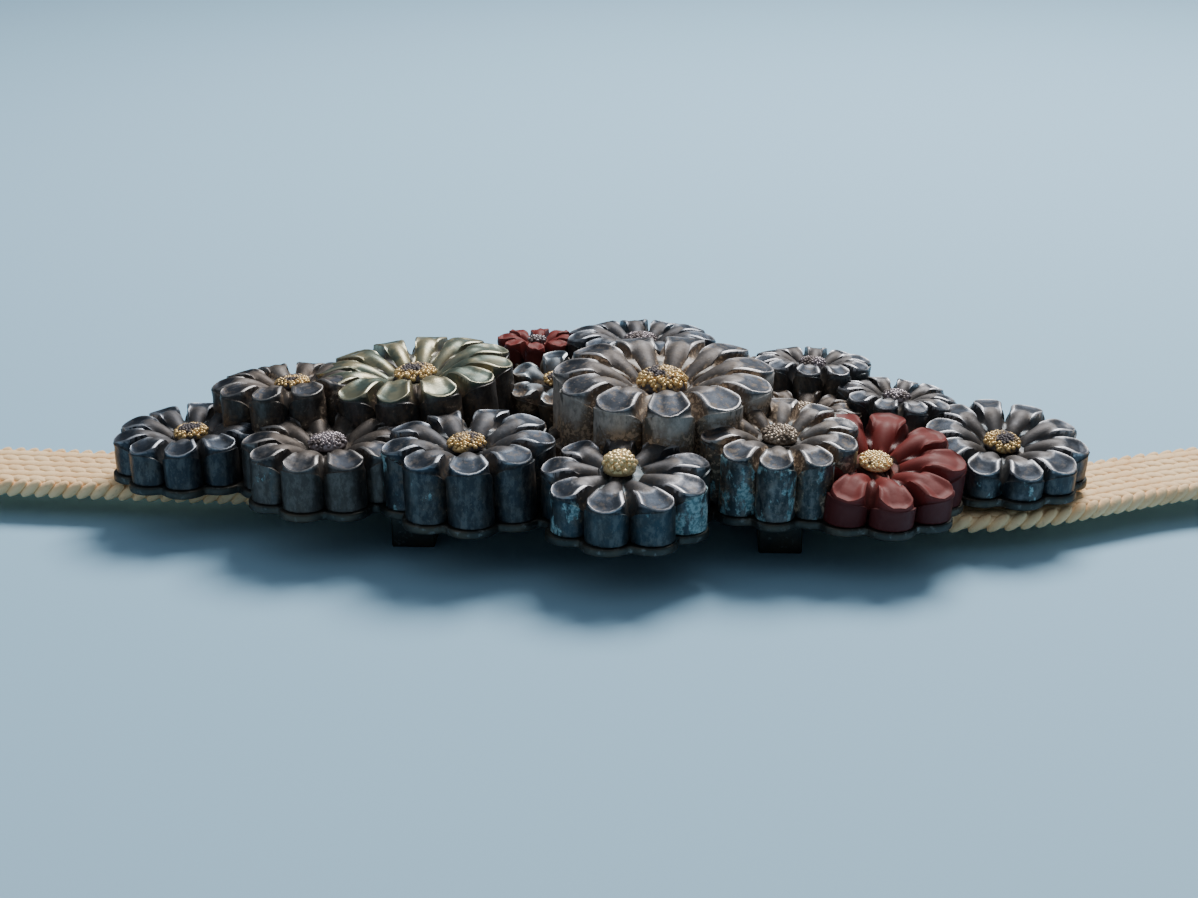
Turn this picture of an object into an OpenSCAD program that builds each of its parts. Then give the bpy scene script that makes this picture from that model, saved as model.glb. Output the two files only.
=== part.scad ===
// Obidome: a sash brooch of overlapping chrysanthemum heads on a scalloped back plate,
// with two cord bars under it and a flat braided cord through them.
// Millimetres, +Z up, +X along the brooch, the front is -Y, resting plane at z = 0.

/* [Back] */
// Thickness of the two cord bars under the plate
bar_thickness = 0.9; // [0.7:0.1:1.2]
// Clear height of the cord passage between bar and plate
slot_height = 2.0; // [1.6:0.1:2.4]
// Clear width of the cord passage
slot_width = 9.4; // [8:0.2:11]
// Width of a bar along the brooch
bar_width = 2.6; // [2:0.1:4]
// Distance of each bar from the middle of the brooch
bar_offset = 11; // [8:0.5:14]
// Shift of both bars towards the front
bar_shift = -1.4; // [-2:0.1:0]
// Thickness of the back plate
plate_thickness = 0.5; // [0.4:0.05:0.8]
// How far the plate stands proud of the fluted walls
plate_lip = 0.2; // [0.1:0.05:0.4]
// Open seam between plate and cluster
seam = 0.05; // [0.03:0.01:0.1]

/* [Flowers] */
// Height of a petal's arch over the flower's plane, as a share of the flower's radius
arch = 0.06; // [0.03:0.01:0.12]
// Where along the petal the arch is highest
crest = 0.66; // [0.55:0.01:0.72]
// How far the petal's tip lies under the flower's plane, as a share of the radius
tip_drop = 0.02; // [0:0.01:0.1]
// How far the seat of a stamen cap is sunk under the flower's plane, as a share of the radius
seat_drop = 0.1; // [0:0.01:0.14]
// Depth of the groove between two petals at their ends
groove = 0.9; // [0.5:0.05:1]
// Depth of the shallow dish in the end of each petal
dish = 0.16; // [0.05:0.01:0.25]
// Thickness of the cast metal
metal = 0.7; // [0.6:0.05:1.2]
// Size of the stamen cap, as a share of the flower's radius
cap_share = 0.22; // [0.18:0.01:0.23]
// Height of the dome of a stamen cap, as a share of its own radius
cap_height = 0.5; // [0.4:0.02:0.7]
// Gap under a stamen cap
cap_gap = 0.06; // [0.04:0.01:0.1]

/* [Cord] */
// Width of the flat braid
cord_width = 6.2; // [5:0.1:7]
// Thickness of the flat braid
cord_thickness = 1.1; // [0.9:0.1:1.4]

/* [Hidden] */
$fn = 32;
plate_bottom = bar_thickness + slot_height;
plate_top = plate_bottom + plate_thickness;
casting_bottom = plate_top + seam;
silver = [0.55, 0.57, 0.6];
gold = [0.8, 0.66, 0.35];
cream = [0.92, 0.85, 0.72];
// Edge of the flat seat of a stamen cap, as a share of the way out.
seat_edge = 0.27;
// Size and height of the low ground between the flowers.
ground_length = 49;
ground_width = 16;
ground_y = 0;
ground_height = 1.4;

// One row a flower: name, place of its middle (x, y, z), lean in degrees and the direction it leans to,
// radius, number of petals, direction of its first petal, and how far the ring of tips is off its middle.
flowers = [
  ["left_end", -25.2, -2.5, 5.8, 3, 200, 4.8, 10, -87, 0, 0.2],
  ["left_front", -16.2, -5.5, 6.4, 2, 250, 5.2, 10, -103, 0, 0.1],
  ["left_back", -19.5, 1.3, 7.85, 6, 130, 4.9, 10, -100, -0.2, 0],
  ["green", -11.9, 2.2, 8.5, 5, 190, 6.4, 12, -95, -0.1, 0.2],
  ["front_left", -7.6, -7.5, 7.2, 3, 225, 5.2, 9, -84, 0.1, 0],
  ["small", -3.1, 2.5, 7.8, 18, 250, 3.0, 6, 151, 0, 0],
  ["back_red", -4.7, 10.5, 7.9, 2, 90, 2.7, 8, 0, 0, 0],
  ["centre", 3.8, -1.6, 9.4, 3, 270, 6.9, 11, -86, 0.1, 0.6],
  ["front", 1.5, -10.3, 6.4, 7, 270, 5.0, 9, -104, 0.4, 0],
  ["back", 2.2, 10.1, 8.3, 4, 80, 5.0, 11, 0, 0, 0],
  ["front_right", 10.8, -6.5, 7.6, 7, 280, 4.8, 10, -94, 0, 0.1],
  ["back_right", 13.4, 6.5, 7.9, 5, 60, 3.9, 10, 10, 0, 0],
  ["behind_red", 18.5, 2.6, 7.0, 6, 20, 3.8, 10, 0, 0, 0],
  ["red", 16.4, -7.4, 6.35, 15, 283, 5.05, 9, -81, 0.3, 0],
  ["right_end", 24.5, -2.3, 5.85, 11, 290, 5.0, 10, -80, 0.3, 0.2],
  ["back_low", 8.6, 8.5, 6.8, 5, 70, 3.4, 9, 12, 0, 0],
  ["middle_left", -5.1, 6.5, 6.6, 0, 0, 3.0, 8, 10, 0, 0],
  ["middle_front", -3.8, -2.9, 5.5, 0, 0, 3.1, 8, 10, 0, 0],
  ["middle_right", 12.5, 0.1, 6.9, 4, 20, 3.7, 9, 0, 0, 0],
  ["middle_end", 19.9, -1.9, 5.4, 6, 20, 3.0, 8, 7, 0, 0]
];
function flower_name(f) = f[0];
function middle(f) = [f[1], f[2], f[3]];
function lean(f) = f[4];
function lean_to(f) = f[5];
function radius(f) = f[6];
function petals(f) = f[7];
function first_petal(f) = f[8];
function ring_shift(f) = [f[9], f[10]];

// Stamens unlike the rest: flower, radius as a share of the flower's, height as a share of its own radius,
// and how far its seat is sunk, as a share of the flower's radius.
special_stamens = [
  ["green", 0.21, 0.45, 0.11],
  ["centre", 0.225, 0.65, 0.12],
  ["front", 0.19, 1, 0],
  ["red", 0.19, 0.4, 0.09]
];
function stamen_row(f) = let (own = [for (s = special_stamens) if (s[0] == flower_name(f)) s])
  len(own) > 0 ? own[0] : ["", cap_share, cap_height, seat_drop];
function cap_radius(f) = radius(f) * stamen_row(f)[1];
function cap_rise(f) = cap_radius(f) * stamen_row(f)[2];
function seat_height(f) = -radius(f) * stamen_row(f)[3];

// A petal's end is a round lobe; neighbouring lobes just meet.
lobe_overlap = 1.04;
function lobe_share(f) = sin(180 / petals(f)) * lobe_overlap;
function lobe_radius(f) = radius(f) * lobe_share(f) / (1 + lobe_share(f));
function petal_angle(f, k) = first_petal(f) + 360 * k / petals(f);
function lobe_centre(f, k) = ring_shift(f)
  + (radius(f) - lobe_radius(f)) * [cos(petal_angle(f, k)), sin(petal_angle(f, k))];

// Each petal has one ray in the groove beside it and rays over its lobe.
// A turn is round the lobe's middle; round says how far the ray is from the petal's back, 1 in a groove.
lobe_turns = [-105, -48, 0, 48];
function ray_point(f, k, i) = lobe_centre(f, k)
  + lobe_radius(f) * [cos(petal_angle(f, k) + lobe_turns[i]), sin(petal_angle(f, k) + lobe_turns[i])];
function ray_round(i) = abs(lobe_turns[i]) / 105;

// Height over the flower's plane at share s of the way out, from the edge of the seat.
function petal_rise(f, s) = s < crest
  ? radius(f) * arch - (radius(f) * arch - seat_height(f)) * pow((crest - s) / (crest - seat_edge), 2)
  : radius(f) * (arch - (arch + tip_drop) * pow((s - crest) / (1 - crest), 2));
function groove_depth(s, round) = groove * min(1, s * 1.25) * pow(round, 2.2);

// Rings from the middle outwards: share of the way out and how much of the dish shows there.
// The first ring is the edge of the flat seat of the stamen cap.
rings = [[seat_edge, 0], [0.44, 0], [crest, 0.3], [0.86, 1], [1, 0]];
function ring_height(f, r, i) = r == 0 ? seat_height(f)
  : petal_rise(f, rings[r][0]) - groove_depth(rings[r][0], ray_round(i))
    - dish * rings[r][1] * (1 - ray_round(i));

// Turns the flower's own plane into the brooch's frame: a lean about a level axis.
function tilted(f, p) =
  let (a = lean_to(f), t = lean(f),
       u = p[0] * cos(a) + p[1] * sin(a),
       v = -p[0] * sin(a) + p[1] * cos(a),
       u2 = u * cos(t) + p[2] * sin(t),
       w = -u * sin(t) + p[2] * cos(t))
  [u2 * cos(a) - v * sin(a), u2 * sin(a) + v * cos(a), w];
function placed(f, p) = middle(f) + tilted(f, p);
function axis(f) = tilted(f, [0, 0, 1]);
// The foot of a wall: down the flower's own axis to height z.
function foot(f, p, z) = p - axis(f) * (p[2] - z) / axis(f)[2];

function rim_point(f, k, i) =
  let (q = ray_point(f, k, i)) placed(f, [q[0], q[1], ring_height(f, len(rings) - 1, i)]);
function outline(f, z) = [for (k = [0 : petals(f) - 1], i = [0 : len(lobe_turns) - 1])
  let (p = foot(f, rim_point(f, k, i), z)) [p[0], p[1]]];

function ring_points(f, r) = [for (k = [0 : petals(f) - 1], i = [0 : len(lobe_turns) - 1])
  let (q = rings[r][0] * ray_point(f, k, i)) placed(f, [q[0], q[1], ring_height(f, r, i)])];
function base_points(f, z) = [for (p = outline(f, z)) [p[0], p[1], z]];
function band(a, b, n) = [for (j = [0 : n - 1]) each [
  [a + j, a + (j + 1) % n, b + (j + 1) % n],
  [a + j, b + (j + 1) % n, b + j]]];

// One flower head, solid from its petals down to the foot of its fluted wall.
module flower_head(f) {
  n = petals(f) * len(lobe_turns);
  count = len(rings);
  points = concat(
    [for (r = [0 : count - 1]) each ring_points(f, r)],
    base_points(f, casting_bottom),
    [placed(f, [0, 0, seat_height(f)])]);
  centre_point = (count + 1) * n;
  faces = concat(
    [for (j = [0 : n - 1]) [centre_point, (j + 1) % n, j]],
    [for (r = [0 : count - 1]) each band(r * n, (r + 1) * n, n)],
    [[for (j = [0 : n - 1]) count * n + j]]);
  polyhedron(points, faces);
}

// The hollow inside a flower, one metal thickness inside its grooves, along the flower's own axis.
module cavity(f) {
  inner = radius(f) - 1.6 * lobe_radius(f) - metal;
  top = -tip_drop * radius(f) - groove - metal;
  o = ring_shift(f);
  translate(middle(f)) rotate([0, 0, lean_to(f)]) rotate([0, lean(f), 0]) rotate([0, 0, -lean_to(f)])
    translate([o[0], o[1], 0]) hull() {
      translate([0, 0, top - 0.1]) cylinder(h = 0.1, r = inner, $fn = 12);
      translate([0, 0, -2 * middle(f)[2]]) cylinder(h = 0.1, r = inner, $fn = 12);
    }
}

// The low ground of the casting between the flowers.
module ground(height) translate([0, ground_y, casting_bottom]) linear_extrude(height)
  scale([ground_length / 2, ground_width / 2]) circle(1, $fn = 40);

module flower_cluster() color(silver) difference() {
  union() {
    for (f = flowers) flower_head(f);
    ground(ground_height);
  }
  for (f = flowers) cavity(f);
}

// A stamen cap: a low dome on its seat.
module stamen(f) {
  r = cap_radius(f);
  color(gold) translate(middle(f)) rotate([0, 0, lean_to(f)]) rotate([0, lean(f), 0])
    translate([0, 0, seat_height(f) + cap_gap]) rotate_extrude($fn = 48)
      polygon([for (a = [0 : 15 : 90]) [r * cos(a), cap_rise(f) * (0.25 + 0.75 * sin(a))], [0, 0], [r, 0]]);
}

// The plate follows the cluster, with shallower bays between the petals.
bay_fill = 0.5;
module plate_outline() offset(delta = -bay_fill) offset(delta = plate_lip + bay_fill) union() {
  for (f = flowers) polygon(outline(f, casting_bottom));
  translate([0, ground_y]) scale([ground_length / 2, ground_width / 2]) circle(1, $fn = 40);
}

// A cord bar: a soldered strap with two posts, open below the plate.
module cord_bar(x) {
  post = 1.0;
  translate([x - bar_width / 2, bar_shift - slot_width / 2 - post, 0]) difference() {
    cube([bar_width, slot_width + 2 * post, plate_bottom + 0.2]);
    translate([-1, post, bar_thickness]) cube([bar_width + 2, slot_width, slot_height]);
  }
}

module back_plate() color([0.45, 0.47, 0.46]) union() {
  translate([0, 0, plate_bottom]) linear_extrude(plate_thickness) plate_outline();
  for (x = [-bar_offset, bar_offset]) cord_bar(x);
}

// The cord's route: hand-chosen points, x, y and height of its middle line.
cord_middle = bar_thickness + slot_height / 2;
cord_route = [
  [-44, 0.1, cord_middle], [-38, -0.2, cord_middle], [-30, -0.7, cord_middle], [-22, -1.1, cord_middle],
  [-11, -1.5, cord_middle], [0, -1.9, cord_middle], [11, -2.5, cord_middle], [17, -3.3, cord_middle],
  [22, -3.7, cord_middle], [26, -2.7, cord_middle], [30, -0.7, cord_middle], [34, 1.3, cord_middle],
  [38, 2.7, cord_middle + 0.1], [44, 4.5, cord_middle + 0.3]
];
// Points between two route points, on a curve that passes through them all.
cord_steps = 3;
function route(i) = cord_route[min(max(i, 0), len(cord_route) - 1)];
function along(i, t) = 0.5 * (2 * route(i) + (route(i + 1) - route(i - 1)) * t
  + (2 * route(i - 1) - 5 * route(i) + 4 * route(i + 1) - route(i + 2)) * t * t
  + (3 * route(i) - 3 * route(i + 1) + route(i + 2) - route(i - 1)) * t * t * t);
cord_line = [for (i = [0 : len(cord_route) - 2], j = [0 : cord_steps - 1]) along(i, j / cord_steps),
  route(len(cord_route) - 1)];
function line_point(i) = cord_line[min(max(i, 0), len(cord_line) - 1)];
function across(i) = let (d = line_point(i + 1) - line_point(i - 1), h = norm([d[0], d[1]]))
  [-d[1] / h, d[0] / h, 0];
// The braid's section, across and up: a flat band with rounded edges.
half_width = cord_width / 2;
half_thick = cord_thickness / 2;
section = [
  [half_width, -half_thick * 0.4], [half_width, half_thick * 0.4],
  [half_width - half_thick, half_thick], [-half_width + half_thick, half_thick],
  [-half_width, half_thick * 0.4], [-half_width, -half_thick * 0.4],
  [-half_width + half_thick, -half_thick], [half_width - half_thick, -half_thick]
];

module sash_cord() {
  n = len(section);
  count = len(cord_line);
  points = [for (i = [0 : count - 1], s = section) line_point(i) + s[0] * across(i) + [0, 0, s[1]]];
  faces = concat(
    [[for (j = [0 : n - 1]) j]],
    [for (i = [0 : count - 2]) each band((i + 1) * n, i * n, n)],
    [[for (j = [n - 1 : -1 : 0]) (count - 1) * n + j]]);
  color(cream) polyhedron(points, faces);
}

flower_cluster();
back_plate();
sash_cord();
for (f = flowers) stamen(f);
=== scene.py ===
"""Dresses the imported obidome: cast flower heads, granulated stamens, back plate and braided sash cord."""

from __future__ import annotations

import logging
import math
from dataclasses import dataclass, field
from enum import Enum

import bmesh
import bpy
import numpy as np
from bpy.types import Material, Mesh, NodeOutputs, NodeSocket, NodeTree, Object
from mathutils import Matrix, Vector
from mathutils.bvhtree import BVHTree


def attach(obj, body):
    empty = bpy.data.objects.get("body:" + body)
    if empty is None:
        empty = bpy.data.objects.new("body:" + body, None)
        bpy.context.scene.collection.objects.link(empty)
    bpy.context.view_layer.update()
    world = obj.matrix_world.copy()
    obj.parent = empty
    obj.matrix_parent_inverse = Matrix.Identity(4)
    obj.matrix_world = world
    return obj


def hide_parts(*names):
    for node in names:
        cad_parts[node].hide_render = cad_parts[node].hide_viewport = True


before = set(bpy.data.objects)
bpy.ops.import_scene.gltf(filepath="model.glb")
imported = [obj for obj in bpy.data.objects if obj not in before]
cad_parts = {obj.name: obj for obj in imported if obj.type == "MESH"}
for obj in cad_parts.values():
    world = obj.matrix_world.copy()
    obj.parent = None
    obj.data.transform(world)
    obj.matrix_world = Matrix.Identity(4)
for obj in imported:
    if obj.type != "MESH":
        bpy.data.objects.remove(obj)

log = logging.getLogger("obidome")

MM = 0.001
BODY = "root"
# height of the foot of the walls, in millimetres
FOOT_Z = 3.45
# points closer than this are one, and edges shorter than this are none, in metres
MERGED, EMPTY = 2e-6, 1e-7
# turn between two neighbours of an even spiral, in radians
GOLDEN_TURN = 2.39996
# wall mask where a flank or a step ends and the wall itself starts
WALL_START = 0.3
# salts on a wall that the table of salted walls doesn't name, as a share of the flower's verdigris
SALT_ELSEWHERE = 0.25
# the petal that ends in a point, by flower and number
POINTED_PETAL: tuple[str, int] = ("centre", 0)
Pair = tuple[float, float]
Triple = tuple[float, float, float]
Array = np.ndarray
Y_AXIS, Z_AXIS = (0.0, 1.0, 0.0), (0.0, 0.0, 1.0)
PAINTED: tuple[str, ...] = ("masks", "petal_colour", "worn_colour", "wall_colour")
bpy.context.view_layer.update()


class Patina(Enum):
    """The finish that a flower head wears."""

    NAVY = "navy"
    DULL = "dull"
    SLATE = "slate"
    SILVER = "silver"
    SALTED = "salted"
    BRIGHT = "bright"
    GREEN = "green"
    RED = "red"
    PALE = "pale"


@dataclass(frozen=True)
class Tone:
    """Colours of one patina.

    Attributes:
        petal: oxidised colour of the petals' faces.
        worn: colour where the metal is rubbed bare.
        wall: colour of the fluted walls.
        wear: how much of the petals is rubbed bare, 0 to 1.
    """

    petal: Triple
    worn: Triple
    wall: Triple
    wear: float


TONES: dict[Patina, Tone] = {
    Patina.NAVY: Tone((0.062, 0.076, 0.098), (0.36, 0.38, 0.42), (0.024, 0.031, 0.040), 0.04),
    Patina.DULL: Tone((0.074, 0.070, 0.073), (0.27, 0.26, 0.255), (0.058, 0.049, 0.045), 0.06),
    Patina.SLATE: Tone((0.072, 0.082, 0.100), (0.50, 0.49, 0.515), (0.026, 0.046, 0.061), 0.07),
    Patina.SILVER: Tone((0.100, 0.100, 0.108), (0.43, 0.42, 0.43), (0.44, 0.41, 0.38), 0.08),
    Patina.SALTED: Tone((0.095, 0.095, 0.102), (0.50, 0.49, 0.495), (0.034, 0.047, 0.056), 0.10),
    Patina.BRIGHT: Tone((0.085, 0.092, 0.106), (0.48, 0.48, 0.505), (0.030, 0.042, 0.053), 0.10),
    Patina.GREEN: Tone((0.095, 0.120, 0.092), (0.39, 0.37, 0.27), (0.066, 0.063, 0.064), 0.15),
    Patina.RED: Tone((0.165, 0.024, 0.021), (0.21, 0.075, 0.066), (0.072, 0.011, 0.011), 0.04),
    Patina.PALE: Tone((0.14, 0.18, 0.22), (0.46, 0.48, 0.49), (0.12, 0.108, 0.095), 0.2),
}


@dataclass(frozen=True)
class Stamen:
    """Sizes of a stamen's dome and of its seat.

    Attributes:
        share: radius, share of the flower's radius.
        height: height of the dome, share of its own radius.
        sunk: how far the seat lies under the flower's plane, share of the flower's radius.
        grain: radius of a grain, in millimetres.
    """

    share: float = 0.22
    height: float = 0.5
    sunk: float = 0.1
    grain: float = 0.125


@dataclass(frozen=True)
class Bloom:
    """One flower head, as the part's own table has it, in millimetres and degrees.

    Attributes:
        name: its name in the stamen's node.
        middle: the middle of the head.
        lean: how far its axis leans.
        lean_to: the direction that the axis leans to.
        radius: radius of the head.
        petals: number of petals.
        first: direction of the first petal.
        shift: how far the ring of tips is off the middle.
        patina: its finish.
        verdigris: how much of the walls is overgrown with blue-green salts.
        soil: how much brown dirt lies in its crevices.
        stamen: sizes of its stamen.
        mottle: how far the walls are mottled with pale grey and black, 0 to 1.
    """

    name: str
    middle: Triple
    lean: float
    lean_to: float
    radius: float
    petals: int
    first: float
    shift: Pair
    patina: Patina
    verdigris: float = 0.0
    soil: float = 0.4
    stamen: Stamen = Stamen()
    mottle: float = 0.12


BLOOMS: list[Bloom] = [
    Bloom("left_end", (-25.2, -2.5, 5.8), 3, 200, 4.8, 10, -87, (0, 0.2), Patina.NAVY, 0.05, 0.25),
    Bloom("left_front", (-16.2, -5.5, 6.4), 2, 250, 5.2, 10, -103, (0, 0.1), Patina.DULL, 0.1, 0.4),
    Bloom("left_back", (-19.5, 1.3, 7.85), 6, 130, 4.9, 10, -100, (-0.2, 0), Patina.DULL, soil=0.7),
    Bloom("green", (-11.9, 2.2, 8.5), 5, 190, 6.4, 12, -95, (-0.1, 0.2), Patina.GREEN, soil=0.6,
          stamen=Stamen(0.21, 0.45, 0.11)),
    Bloom("front_left", (-7.6, -7.5, 7.2), 3, 225, 5.2, 9, -84, (0.1, 0), Patina.NAVY, 0.2, 0.5),
    Bloom("small", (-3.1, 2.5, 7.8), 18, 250, 3.0, 6, 151, (0, 0), Patina.PALE, soil=0.8),
    Bloom("back_red", (-4.7, 10.5, 7.9), 2, 90, 2.7, 8, 0, (0, 0), Patina.RED, soil=0.1),
    Bloom("centre", (3.8, -1.6, 9.4), 3, 270, 6.9, 11, -86, (0.1, 0.6), Patina.SILVER, soil=1.0,
          stamen=Stamen(0.225, 0.65, 0.12, 0.15), mottle=1.0),
    Bloom("front", (1.5, -10.3, 6.4), 7, 270, 5.0, 9, -104, (0.4, 0), Patina.SLATE, 0.45, 0.45,
          stamen=Stamen(0.19, 1.0, 0.0, 0.18)),
    Bloom("back", (2.2, 10.1, 8.3), 4, 80, 5.0, 11, 0, (0, 0), Patina.NAVY, soil=0.3),
    Bloom("front_right", (10.8, -6.5, 7.6), 7, 280, 4.8, 10, -94, (0, 0.1), Patina.SALTED, 0.6, 0.9,
          mottle=0.25),
    Bloom("back_right", (13.4, 6.5, 7.9), 5, 60, 3.9, 10, 10, (0, 0), Patina.BRIGHT, soil=0.4),
    Bloom("behind_red", (18.5, 2.6, 7.0), 6, 20, 3.8, 10, 0, (0, 0), Patina.BRIGHT, soil=0.4),
    Bloom("red", (16.4, -7.4, 6.35), 15, 283, 5.05, 9, -81, (0.3, 0), Patina.RED, soil=0.1,
          stamen=Stamen(0.19, 0.4, 0.09, 0.115)),
    Bloom("right_end", (24.5, -2.3, 5.85), 11, 290, 5.0, 10, -80, (0.3, 0.2), Patina.BRIGHT, 0.4, 0.3),
    Bloom("back_low", (8.6, 8.5, 6.8), 5, 70, 3.4, 9, 12, (0, 0), Patina.DULL, soil=0.8),
    Bloom("middle_left", (-5.1, 6.5, 6.6), 0, 0, 3.0, 8, 10, (0, 0), Patina.DULL, soil=0.8),
    Bloom("middle_front", (-3.8, -2.9, 5.5), 0, 0, 3.1, 8, 10, (0, 0), Patina.DULL, soil=0.8),
    Bloom("middle_right", (12.5, 0.1, 6.9), 4, 20, 3.7, 9, 0, (0, 0), Patina.DULL, soil=0.8),
    Bloom("middle_end", (19.9, -1.9, 5.4), 6, 20, 3.0, 8, 7, (0, 0), Patina.DULL, soil=0.8),
]


# how much single petals are rubbed bare, by flower and number, where the photograph shows it
RUBBED_PETALS: dict[tuple[str, int], float] = {
    ("front", 8): 1.0, ("front", 2): 1.0, ("front", 3): 0.9, ("front", 0): 0.1, ("front", 1): 0.15,
    ("front_left", 8): 0.9, ("front_left", 0): 0.2, ("front_left", 1): 0.1, ("front_left", 7): 0.4,
}


# how much blue-green salt the walls of single petals carry, by flower and number
SALTED_WALLS: dict[tuple[str, int], float] = {
    ("front", 2): 1.0, ("front", 8): 0.75, ("front", 1): 0.25, ("front_left", 7): 0.5, ("front_left", 8): 0.3,
    ("front_right", 9): 0.9, ("front_right", 0): 0.75, ("front_right", 1): 0.6, ("front_right", 8): 0.5,
    ("right_end", 8): 0.6, ("right_end", 9): 0.55, ("right_end", 0): 0.4, ("left_front", 9): 0.3,
}


@dataclass
class Relief:
    """Sizes of a petal's relief, in millimetres or as a share of the flower's radius.

    Attributes:
        arch: rise of the petal's back, share of the radius.
        crest: where the back is highest, share of the way out.
        tip_drop: how far the tip lies under the flower's plane, share of the radius.
        groove: depth of the groove between two petals.
        groove_run: how fast a groove gets deep, in times the share of the way out.
        lobe_overlap: how far neighbouring round ends overlap.
        tongue: width of a petal's face, share of its round end.
        tip_inset: how far the face's tip stays inside the wall.
        base: where the petals start, at the edge of the stamen's seat, share of the radius.
        neck: width of a petal at its start, share of the room there.
        flare: how late a petal widens, as a power of the share of the way out.
        cut: where the dished face starts at its sides, share of the way out.
        cut_bow: how much further out it starts in the middle.
        cut_soft: half the width of the step where it starts.
        back_crown: rounding of the petal's back, share of its half width.
        face_crown: rounding of the dished face, share of its half width.
        dish: depth of the hollow in the face.
        dish_edge: distances from the outline where the hollow starts and where it is full.
        dish_shade: distances from the outline where the painted shade of the hollow starts and is full.
        rim: height of the worn rim round the hollow.
        rim_at: the rim's distance from the outline, and half its width.
        spine: height and half width of the ridge along a red or a pointed petal.
        point: how far the pointed petal's end is pointed instead of round.
        point_reach: how much longer the pointed petal's end is.
        worn_rim: width of the worn band along the outline.
        worn_step: how worn the step to the dished face is, its width, and its span to the sides.
        flank_wear: how worn the top of a flank is.
        flank_from: where that wear starts and is full, share of the way out.
        shoulder: step from the rim down to the wall's top.
        waist: depth of the wall's waist, its place down the wall and its width, shares of the wall's height.
    """

    arch: float = 0.06
    crest: float = 0.66
    tip_drop: float = 0.045
    groove: float = 0.9
    groove_run: float = 1.25
    lobe_overlap: float = 1.04
    tongue: float = 0.79
    tip_inset: float = 0.02
    base: float = 0.27
    neck: float = 0.9
    flare: float = 1.45
    cut: float = 0.50
    cut_bow: float = 0.10
    cut_soft: float = 0.07
    back_crown: float = 0.62
    face_crown: float = 0.16
    dish: float = 0.2
    dish_edge: Pair = (0.06, 0.42)
    dish_shade: Pair = (0.06, 0.3)
    rim: float = 0.035
    rim_at: float = 0.04
    spine: Pair = (0.10, 0.12)
    point: float = 0.85
    point_reach: float = 0.16
    worn_rim: float = 0.10
    worn_step: Triple = (0.55, 0.06, 0.7)
    flank_wear: float = 0.45
    flank_from: Pair = (0.35, 0.7)
    shoulder: float = 0.07
    waist: Triple = (0.05, 0.16, 0.12)


@dataclass(frozen=True)
class Chance:
    """How far a single petal differs from its flower's rule at most.

    Attributes:
        width: difference in width, as a share.
        tip: how much shorter it is, in millimetres.
        dish: difference in the hollow's depth, as a share.
        rim: difference in the rim's height, as a share.
        lift: difference in the face's height, in millimetres.
        cut: difference in the start of the dished face, share of the way out.
        sway: how far it swings to the side, share of its width.
        roll: how far the face tilts to the side, in millimetres.
    """

    width: float = 0.07
    tip: float = 0.05
    dish: float = 0.25
    rim: float = 0.5
    lift: float = 0.05
    cut: float = 0.05
    sway: float = 0.08
    roll: float = 0.07


@dataclass
class Petal:
    """One petal's face as a grid: rows from the seat out to the tip, columns from side to side.

    Attributes:
        angle: its direction, in radians.
        out: distances out along the petal, in millimetres.
        side: distances to the side, in millimetres.
        up: heights over the flower's plane, in millimetres.
        wear: how worn each point is, 0 to 1.
        luck: how readily the petal is rubbed bare, 0 to 1.
        salt: how much blue-green salt its wall carries, 0 to 1.
    """

    angle: float
    out: Array
    side: Array
    up: Array
    wear: Array
    luck: float
    salt: float


def smooth_step(low: float, high: float, x: Array) -> Array:
    """Rises from 0 at low to 1 at high, with soft ends.

    Args:
        low: where it starts to rise.
        high: where it reaches 1.
        x: the values to map.

    Returns:
        The mapped values.
    """
    t = np.clip((x - low) / (high - low), 0.0, 1.0)
    return t * t * (3.0 - 2.0 * t)


def link(obj: Object) -> Object:
    """Puts an object in the scene and returns it."""
    bpy.context.scene.collection.objects.link(obj)
    return obj


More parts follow.
